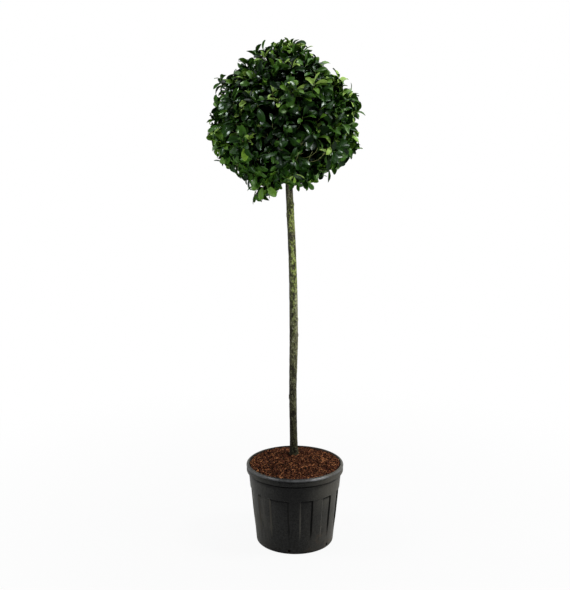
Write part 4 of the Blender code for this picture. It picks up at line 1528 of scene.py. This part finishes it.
def even_steps(first, last, count):
    return [first + (last - first) * k / count for k in range(1, count + 1)]


def container_profile(pot):
    """(radius, height) from the middle of the inner floor, over the lip and down to the underside."""

    def wall_at(z):
        return pot.foot_radius + pot.slope * z

    top = pot.height
    lip = top - pot.rim_depth
    edge = pot.rim_radius
    band = pot.band_bottom
    band_top = lip - 0.0062
    foot = 0.0062
    profile = [(0.0, pot.wall)]
    profile += [(part * (wall_at(pot.wall) - pot.wall), pot.wall) for part in (0.35, 0.7, 1.0)]
    profile += [(wall_at(z) - pot.wall, z) for z in even_steps(pot.wall, lip - 0.004, 8)]
    profile += [(pot.rim_inner + 0.0004, lip + 0.006)]
    profile += [(pot.rim_inner + out, top - down) for out, down in LIP_ROLL]
    profile += [(edge - inwards, top - down) for inwards, down in LIP_FACE]
    profile += [(edge - 0.0008, z) for z in even_steps(top - 0.0124, lip + 0.0022, 3)]
    profile += [(edge - 0.0013, lip + 0.0007), (edge - 0.0028, lip)]
    profile += [(wall_at(lip) + 0.0004, lip - 0.0002), (wall_at(lip) - 0.0004, lip - 0.0014)]
    profile += [(wall_at(band_top) - 0.0002, band_top + 0.0026), (wall_at(band_top), band_top)]
    heights = even_steps(band_top, band + 0.001, 7) + even_steps(band + 0.001, band - 0.0024, 8)
    heights += even_steps(band - 0.0024, band - 0.01, 7) + even_steps(band - 0.01, 0.0105, 24)
    profile += [(wall_at(z), z) for z in (*heights, 0.0085, 0.0068)]
    profile += arc((wall_at(foot) - foot, foot), foot, 0.0, -90.0, 7)[1:]
    profile += [(part * pot.foot_radius, 0.0) for part in (0.72, 0.36, 0.0)]
    return profile


def rib_offset(pot):
    """Geometry nodes that raise the band and the ribs from the wall, with rounded tops to the panels."""

    def build(w, place):
        x, y, z = w.split(place)
        radius = w.vector("LENGTH", w.join(x, y, 0.0), out=1)
        turn = w.math("ARCTAN2", y, x) * (180.0 / math.pi)
        half_turn = w.math("FLOORED_MODULO", turn - RIB_FIRST_ANGLE, 180.0)
        away = 180.0 - half_turn
        for rib in RIB_TURNS:
            away = w.math("MINIMUM", away, abs(half_turn - rib))
        beside = (away - RIB_HALF_WIDTH) * (math.pi / 180.0) * radius
        below = pot.band_bottom - z
        into_x = w.math("MAXIMUM", PANEL_CORNER - beside, 0.0)
        into_z = w.math("MAXIMUM", PANEL_CORNER - below, 0.0)
        inside = PANEL_CORNER - w.math("SQRT", into_x ** 2.0 + into_z ** 2.0)
        panel = w.ramp(inside, -0.0012, 0.004)
        relief = pot.rib_raise - panel * (pot.rib_raise + pot.panel_depth)
        on_band = w.ramp(below, 0.0008, -0.0006)
        raised = relief * w.ramp(z, 0.03, 0.115) * (1.0 - on_band) + on_band * pot.band_raise
        foot, lip_foot = pot.foot_radius, pot.height - pot.rim_depth
        outside = w.ramp(radius - z * pot.slope, foot - 0.0014, foot - 0.0006)
        push = raised * outside * w.ramp(z, lip_foot - 0.003, lip_foot - 0.0062) / radius
        return w.vector("MULTIPLY", place, w.join(push, push, 0.0))

    return build


def make_pot():
    sizes = settings().pot
    pot = turned_body("pot_moulded", container_profile(sizes), sizes.columns)
    shape_by_nodes(pot, "ribs", rib_offset(sizes))
    foot = sizes.foot_radius
    for azimuth in NOTCH_ANGLES:
        turn = math.radians(azimuth)
        deselect()
        bpy.ops.mesh.primitive_cylinder_add(vertices=8, radius=NOTCH_RADIUS, depth=NOTCH_DEPTH)
        cutter = bpy.context.object
        cutter.location = (foot * math.cos(turn), foot * math.sin(turn), NOTCH_HEIGHT)
        cutter.rotation_euler = (math.radians(90.0), 0.0, turn + math.radians(90.0))
        settle(cutter)
        modifier = pot.modifiers.new("Drain notch", "BOOLEAN")
        modifier.operation = "DIFFERENCE"
        modifier.solver = "EXACT"
        modifier.object = cutter
        apply_modifiers(pot)
        bpy.data.objects.remove(cutter)
    activate(pot)
    bpy.ops.object.shade_smooth_by_angle(angle=math.radians(28.0))
    dress(pot, "pot", plastic_material(sizes))
    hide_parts("pot")


# Compost

# Kinds of chips: (name, share of them, length, width and thickness as shares of the length, lift, tilt)
CHIP_KINDS = (
    ("dark", 0.3, (0.004, 0.011), (0.35, 0.7), (0.15, 0.35), 0.0, 0.45),
    ("red", 0.34, (0.004, 0.012), (0.3, 0.65), (0.12, 0.3), 0.001, 0.4),
    ("brown", 0.22, (0.004, 0.012), (0.25, 0.6), (0.12, 0.28), 0.0014, 0.4),
    ("pale", 0.14, (0.005, 0.014), (0.1, 0.35), (0.08, 0.16), 0.0018, 0.3),
)
# A chip is a skewed block: its corners, and the corners of each of its faces
CHIP_CORNERS = np.array(
    [(-0.5, -0.2, -0.5), (0.45, -0.35, -0.5), (0.5, 0.3, -0.5), (-0.4, 0.45, -0.5),
     (-0.45, -0.3, 0.5), (0.5, -0.25, 0.5), (0.4, 0.4, 0.5), (-0.5, 0.3, 0.5)]
)
CHIP_FACES = np.array([(3, 2, 1, 0), (4, 5, 6, 7), (0, 1, 5, 4), (1, 2, 6, 5), (2, 3, 7, 6), (3, 0, 4, 7)])
CHIP_SEED = 23
CHIP_SKEW = 0.13
STEM_CLEARANCE = 0.016
BED_COLUMNS = 200
BED_RINGS = 64


def heap_height(sizes, x, y):
    """Height of the compost at a place: level round the stem, then falling to the wall."""
    foot_x, foot_y = STEM_COURSE[0][1:3]
    edge = sizes.foot_radius + sizes.slope * sizes.compost_edge - sizes.wall
    away_x, away_y = x - foot_x, y - foot_y
    away = np.maximum(np.hypot(away_x, away_y), 1e-6)
    inward = (away_x * foot_x + away_y * foot_y) / away
    to_wall = -inward + np.sqrt(inward ** 2 + edge ** 2 - foot_x ** 2 - foot_y ** 2)
    t = np.clip((away - sizes.plateau) / (to_wall - sizes.plateau), 0.0, 1.0)
    return sizes.compost_crown + (sizes.compost_edge - sizes.compost_crown) * t * t * (3.0 - 2.0 * t)


def crumb_offset(w, place):
    """Geometry nodes for the crumbly top of the compost."""
    clods = (w.noise(place, 60.0, 3.0) - 0.5) * 0.0075
    crumbs = (w.noise(place, 260.0, 3.0) - 0.5) * 0.0045
    top = w.ramp(w.split(w.get("GeometryNodeInputNormal"))[2], 0.2, 0.6)
    return w.join(0.0, 0.0, (clods + crumbs) * top)


def scatter_chips(sizes, count, lengths, widths, depths, lift, tilt, chance):
    """Points and faces of chips strewn over the compost."""
    edge = sizes.foot_radius + sizes.slope * sizes.compost_edge - sizes.wall - 0.002
    radius = edge * np.sqrt(chance.random(count))
    around = chance.random(count) * 2.0 * np.pi
    x, y = radius * np.cos(around), radius * np.sin(around)
    foot_x, foot_y = STEM_COURSE[0][1:3]
    kept = np.hypot(x - foot_x, y - foot_y) > STEM_CLEARANCE
    x, y = x[kept], y[kept]
    count = len(x)
    length = chance.uniform(*lengths, count)
    shapes = CHIP_CORNERS[None] + chance.normal(0.0, CHIP_SKEW, (count, 8, 3))
    width = length * chance.uniform(*widths, count)
    shapes *= np.stack((length, width, length * chance.uniform(*depths, count)), 1)[:, None]
    turn = chance.random(count) * 2.0 * np.pi
    lean = chance.normal(0.0, tilt, count)
    roll = chance.normal(0.0, tilt, count)
    along = np.stack((np.cos(turn) * np.cos(lean), np.sin(turn) * np.cos(lean), np.sin(lean)), 1)
    across = np.stack((-np.sin(turn), np.cos(turn), np.zeros(count)), 1)
    tilted = swung(across, np.cross(along, across), roll)
    above = np.cross(along, tilted)
    height = heap_height(sizes, x, y) + lift + chance.uniform(-0.0015, 0.0025, count)
    points = np.stack((x, y, height), 1)[:, None]
    for axis, direction in enumerate((along, tilted, above)):
        points = points + shapes[..., axis:axis + 1] * direction[:, None]
    wall = sizes.foot_radius + sizes.slope * points[..., 2] - sizes.wall - 0.0006
    far = np.hypot(points[..., 0], points[..., 1])
    points[..., :2] *= np.minimum(1.0, wall / far)[..., None]
    faces = (CHIP_FACES[None] + (np.arange(count) * 8)[:, None, None]).reshape(-1, 4)
    return points.reshape(-1, 3), faces


def make_compost():
    sizes = settings().pot
    floor = sizes.wall + 0.0003

    def inner(z):
        return sizes.foot_radius + sizes.slope * z - sizes.wall - 0.0004

    profile = [(0.0, floor), (0.6 * inner(floor), floor), (inner(floor), floor)]
    profile += [(inner(z), z) for z in even_steps(floor, sizes.compost_edge, 5)]
    edge = inner(sizes.compost_edge)
    profile += [(edge * (1.0 - k / BED_RINGS), sizes.compost_edge) for k in range(1, BED_RINGS + 1)]
    bed = turned_body("compost_bed", profile, BED_COLUMNS)
    points = np.empty(len(bed.data.vertices) * 3)
    bed.data.vertices.foreach_get("co", points)
    points = points.reshape(-1, 3)
    top = points[:, 2] > sizes.compost_edge - 0.0005
    points[top, 2] = heap_height(sizes, points[top, 0], points[top, 1])
    bed.data.vertices.foreach_set("co", points.ravel())
    bed.data.update()
    shape_by_nodes(bed, "crumbs", crumb_offset)
    bpy.ops.object.shade_smooth()
    dress(bed, "compost", compost_material("compost_peat", tuple(sizes.peat), 0.4, 0.02))
    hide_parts("compost")
    chance = np.random.default_rng(CHIP_SEED)
    for kind, part, *shape in CHIP_KINDS:
        points, faces = scatter_chips(sizes, round(sizes.chips * part), *shape, chance)
        chips = mesh_from_arrays(f"chips_{kind}", points, faces)
        activate(chips)
        bpy.ops.object.shade_smooth_by_angle(angle=math.radians(35.0))
        colour = tuple(getattr(sizes, f"chip_{kind}"))
        dress(chips, "compost", compost_material(f"chip_{kind}", colour, 0.5, 0.012))
        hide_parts("compost")


# Stage


# Square lamps: (name and setting, place, target, width, spread in degrees, colour)
LAMPS = (
    ("key", "key", (2.1, -0.4, 3.0), (0.0, 0.0, 1.0), 0.9, 180.0, (1.0, 0.99, 0.96)),
    ("fill", "fill", (-2.1, -0.3, 3.0), (0.0, 0.0, 1.1), 0.8, 180.0, (0.96, 0.98, 1.0)),
    ("top", "top", (0.5, 0.5, 3.8), (0.0, 0.0, 1.0), 2.0, 180.0, (0.96, 0.98, 1.0)),
    ("lift_left", "lift", (-0.75, -1.0, 0.62), (-0.04, 0.0, 1.4), 0.6, 75.0, (0.97, 0.99, 1.0)),
    ("lift_right", "lift", (0.7, -1.0, 0.62), (-0.04, 0.0, 1.4), 0.6, 75.0, (1.0, 0.99, 0.97)),
)
CAMERA_PLACE = (-0.0368, -3.182, 1.515)
FLOOR_RADIUS = 14.0
FLOOR_HEIGHT = -0.0006
WHITE = (1.0, 1.0, 1.0)
SKY_COLOUR = (0.95, 0.98, 1.0)


def make_lamps(stage):
    for name, setting, place, target, width, spread, colour in LAMPS:
        lamp = bpy.data.lights.new(name, "AREA")
        lamp.energy = getattr(stage, setting)
        lamp.shape = "SQUARE"
        lamp.size = width
        lamp.spread = math.radians(spread)
        lamp.color = colour
        made = bpy.data.objects.new(name, lamp)
        made.visible_camera = False
        made.location = place
        made.rotation_euler = (Vector(target) - Vector(place)).to_track_quat("-Z", "Y").to_euler()
        bpy.context.scene.collection.objects.link(made)


def make_floor(stage):
    """A pale floor that looks nearly white to the camera, whiter further out."""
    deselect()
    place = (0.0, 0.0, FLOOR_HEIGHT)
    bpy.ops.mesh.primitive_circle_add(vertices=128, radius=FLOOR_RADIUS, fill_type="NGON", location=place)
    floor = bpy.context.object
    floor.name = "floor"
    w = Look("floor_paint", 0.7, Base_Color=stage.floor)
    glow = w.get("ShaderNodeEmission", {"Color": WHITE, "Strength": 1.0})
    white = w.ramp(w.vector("LENGTH", w.place(), out=1), 0.35, 2.2, 0.93, 1.0)
    seen = w.get("ShaderNodeLightPath", out="Is Camera Ray") * white
    paint = Value(w, w.shader.outputs[0])
    lit = w.get("ShaderNodeMixShader", {0: seen, 1: paint, 2: glow})
    w.feed(w.tree.nodes["Material Output"].inputs["Surface"], lit)
    floor.data.materials.append(w.material)


def make_surround(stage):
    """A white surround that lights the plant from behind and above, and hardly from the front."""
    world = bpy.data.worlds.new("surround")
    bpy.context.scene.world = world
    world.use_nodes = True
    world.node_tree.nodes.clear()
    w = Wiring(world.node_tree)
    _, back, up = w.split(w.get("ShaderNodeTexCoord", out="Generated"))
    bright = w.math("MAXIMUM", w.ramp(back, -0.5, 0.15), w.ramp(up, 0.25, 0.95) * 0.7)
    strength = bright * (stage.sky - stage.dusk) + stage.dusk
    light = w.get("ShaderNodeBackground", {"Color": SKY_COLOUR, "Strength": strength})
    seen = w.get("ShaderNodeBackground", {"Color": WHITE, "Strength": 1.0})
    camera_ray = w.get("ShaderNodeLightPath", out="Is Camera Ray")
    mixed = w.get("ShaderNodeMixShader", {0: camera_ray, 1: light, 2: seen})
    w.add("ShaderNodeOutputWorld", {"Surface": mixed})


def make_camera(stage):
    scene = bpy.context.scene
    camera = bpy.data.cameras.new("camera")
    camera.sensor_width = 36.0
    camera.lens = stage.lens
    camera.clip_start = 0.05
    camera.clip_end = 100.0
    view = bpy.data.objects.new("camera", camera)
    view.location = CAMERA_PLACE
    view.rotation_euler = (math.radians(90.0) - stage.tilt, 0.0, 0.0)
    scene.collection.objects.link(view)
    scene.camera = view
    scene.view_settings.view_transform = "Standard"
    scene.view_settings.look = "None"


# Operators


class LAUREL_OT_stem(bpy.types.Operator):
    """Draw the stem and its boughs with the bark's relief"""

    bl_idname = "laurel.stem"
    bl_label = "Stem and boughs"

    def execute(self, context):
        make_stem()
        return {"FINISHED"}


class LAUREL_OT_crown(bpy.types.Operator):
    """Grow the crown's twigs and shoots and deal out its leaves"""

    bl_idname = "laurel.crown"
    bl_label = "Twigs and leaves"

    def execute(self, context):
        growth = grow_crown()
        make_twigs(growth)
        make_leaves(growth)
        return {"FINISHED"}


class LAUREL_OT_pot(bpy.types.Operator):
    """Turn and rib the container"""

    bl_idname = "laurel.pot"
    bl_label = "Container"

    def execute(self, context):
        make_pot()
        return {"FINISHED"}


class LAUREL_OT_compost(bpy.types.Operator):
    """Heap the compost and strew its bark chips"""

    bl_idname = "laurel.compost"
    bl_label = "Compost"

    def execute(self, context):
        make_compost()
        return {"FINISHED"}


class LAUREL_OT_stage(bpy.types.Operator):
    """Set the pale floor, the soft lights and the camera"""

    bl_idname = "laurel.stage"
    bl_label = "Stage"

    def execute(self, context):
        stage = settings().stage
        make_floor(stage)
        make_surround(stage)
        make_lamps(stage)
        make_camera(stage)
        return {"FINISHED"}


class LAUREL_PT_panel(bpy.types.Panel):
    """Settings and pieces of the plant."""

    bl_label = "Potted cherry laurel"
    bl_idname = "LAUREL_PT_panel"
    bl_space_type = "VIEW_3D"
    bl_region_type = "UI"
    bl_category = "Laurel"

    def draw(self, context):
        plant = context.scene.laurel
        for title in ("wood", "leaves", "pot", "stage"):
            group = getattr(plant, title)
            box = self.layout.box()
            box.label(text=title.capitalize())
            for name in group.__annotations__:
                box.prop(group, name)
        for operator in OPERATORS:
            self.layout.operator(operator.bl_idname)


OPERATORS = (LAUREL_OT_stem, LAUREL_OT_crown, LAUREL_OT_pot, LAUREL_OT_compost, LAUREL_OT_stage)
CLASSES = (LaurelWood, LaurelLeaves, LaurelPot, LaurelStage, LaurelSettings, *OPERATORS, LAUREL_PT_panel)


def register():
    for each in CLASSES:
        bpy.utils.register_class(each)
    bpy.types.Scene.laurel = bpy.props.PointerProperty(type=LaurelSettings)


def unregister():
    del bpy.types.Scene.laurel
    for each in reversed(CLASSES):
        bpy.utils.unregister_class(each)


def main():
    register()
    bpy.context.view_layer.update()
    bpy.ops.laurel.stem()
    bpy.ops.laurel.crown()
    bpy.ops.laurel.pot()
    bpy.ops.laurel.compost()
    bpy.ops.laurel.stage()


if __name__ == "__main__":
    main()
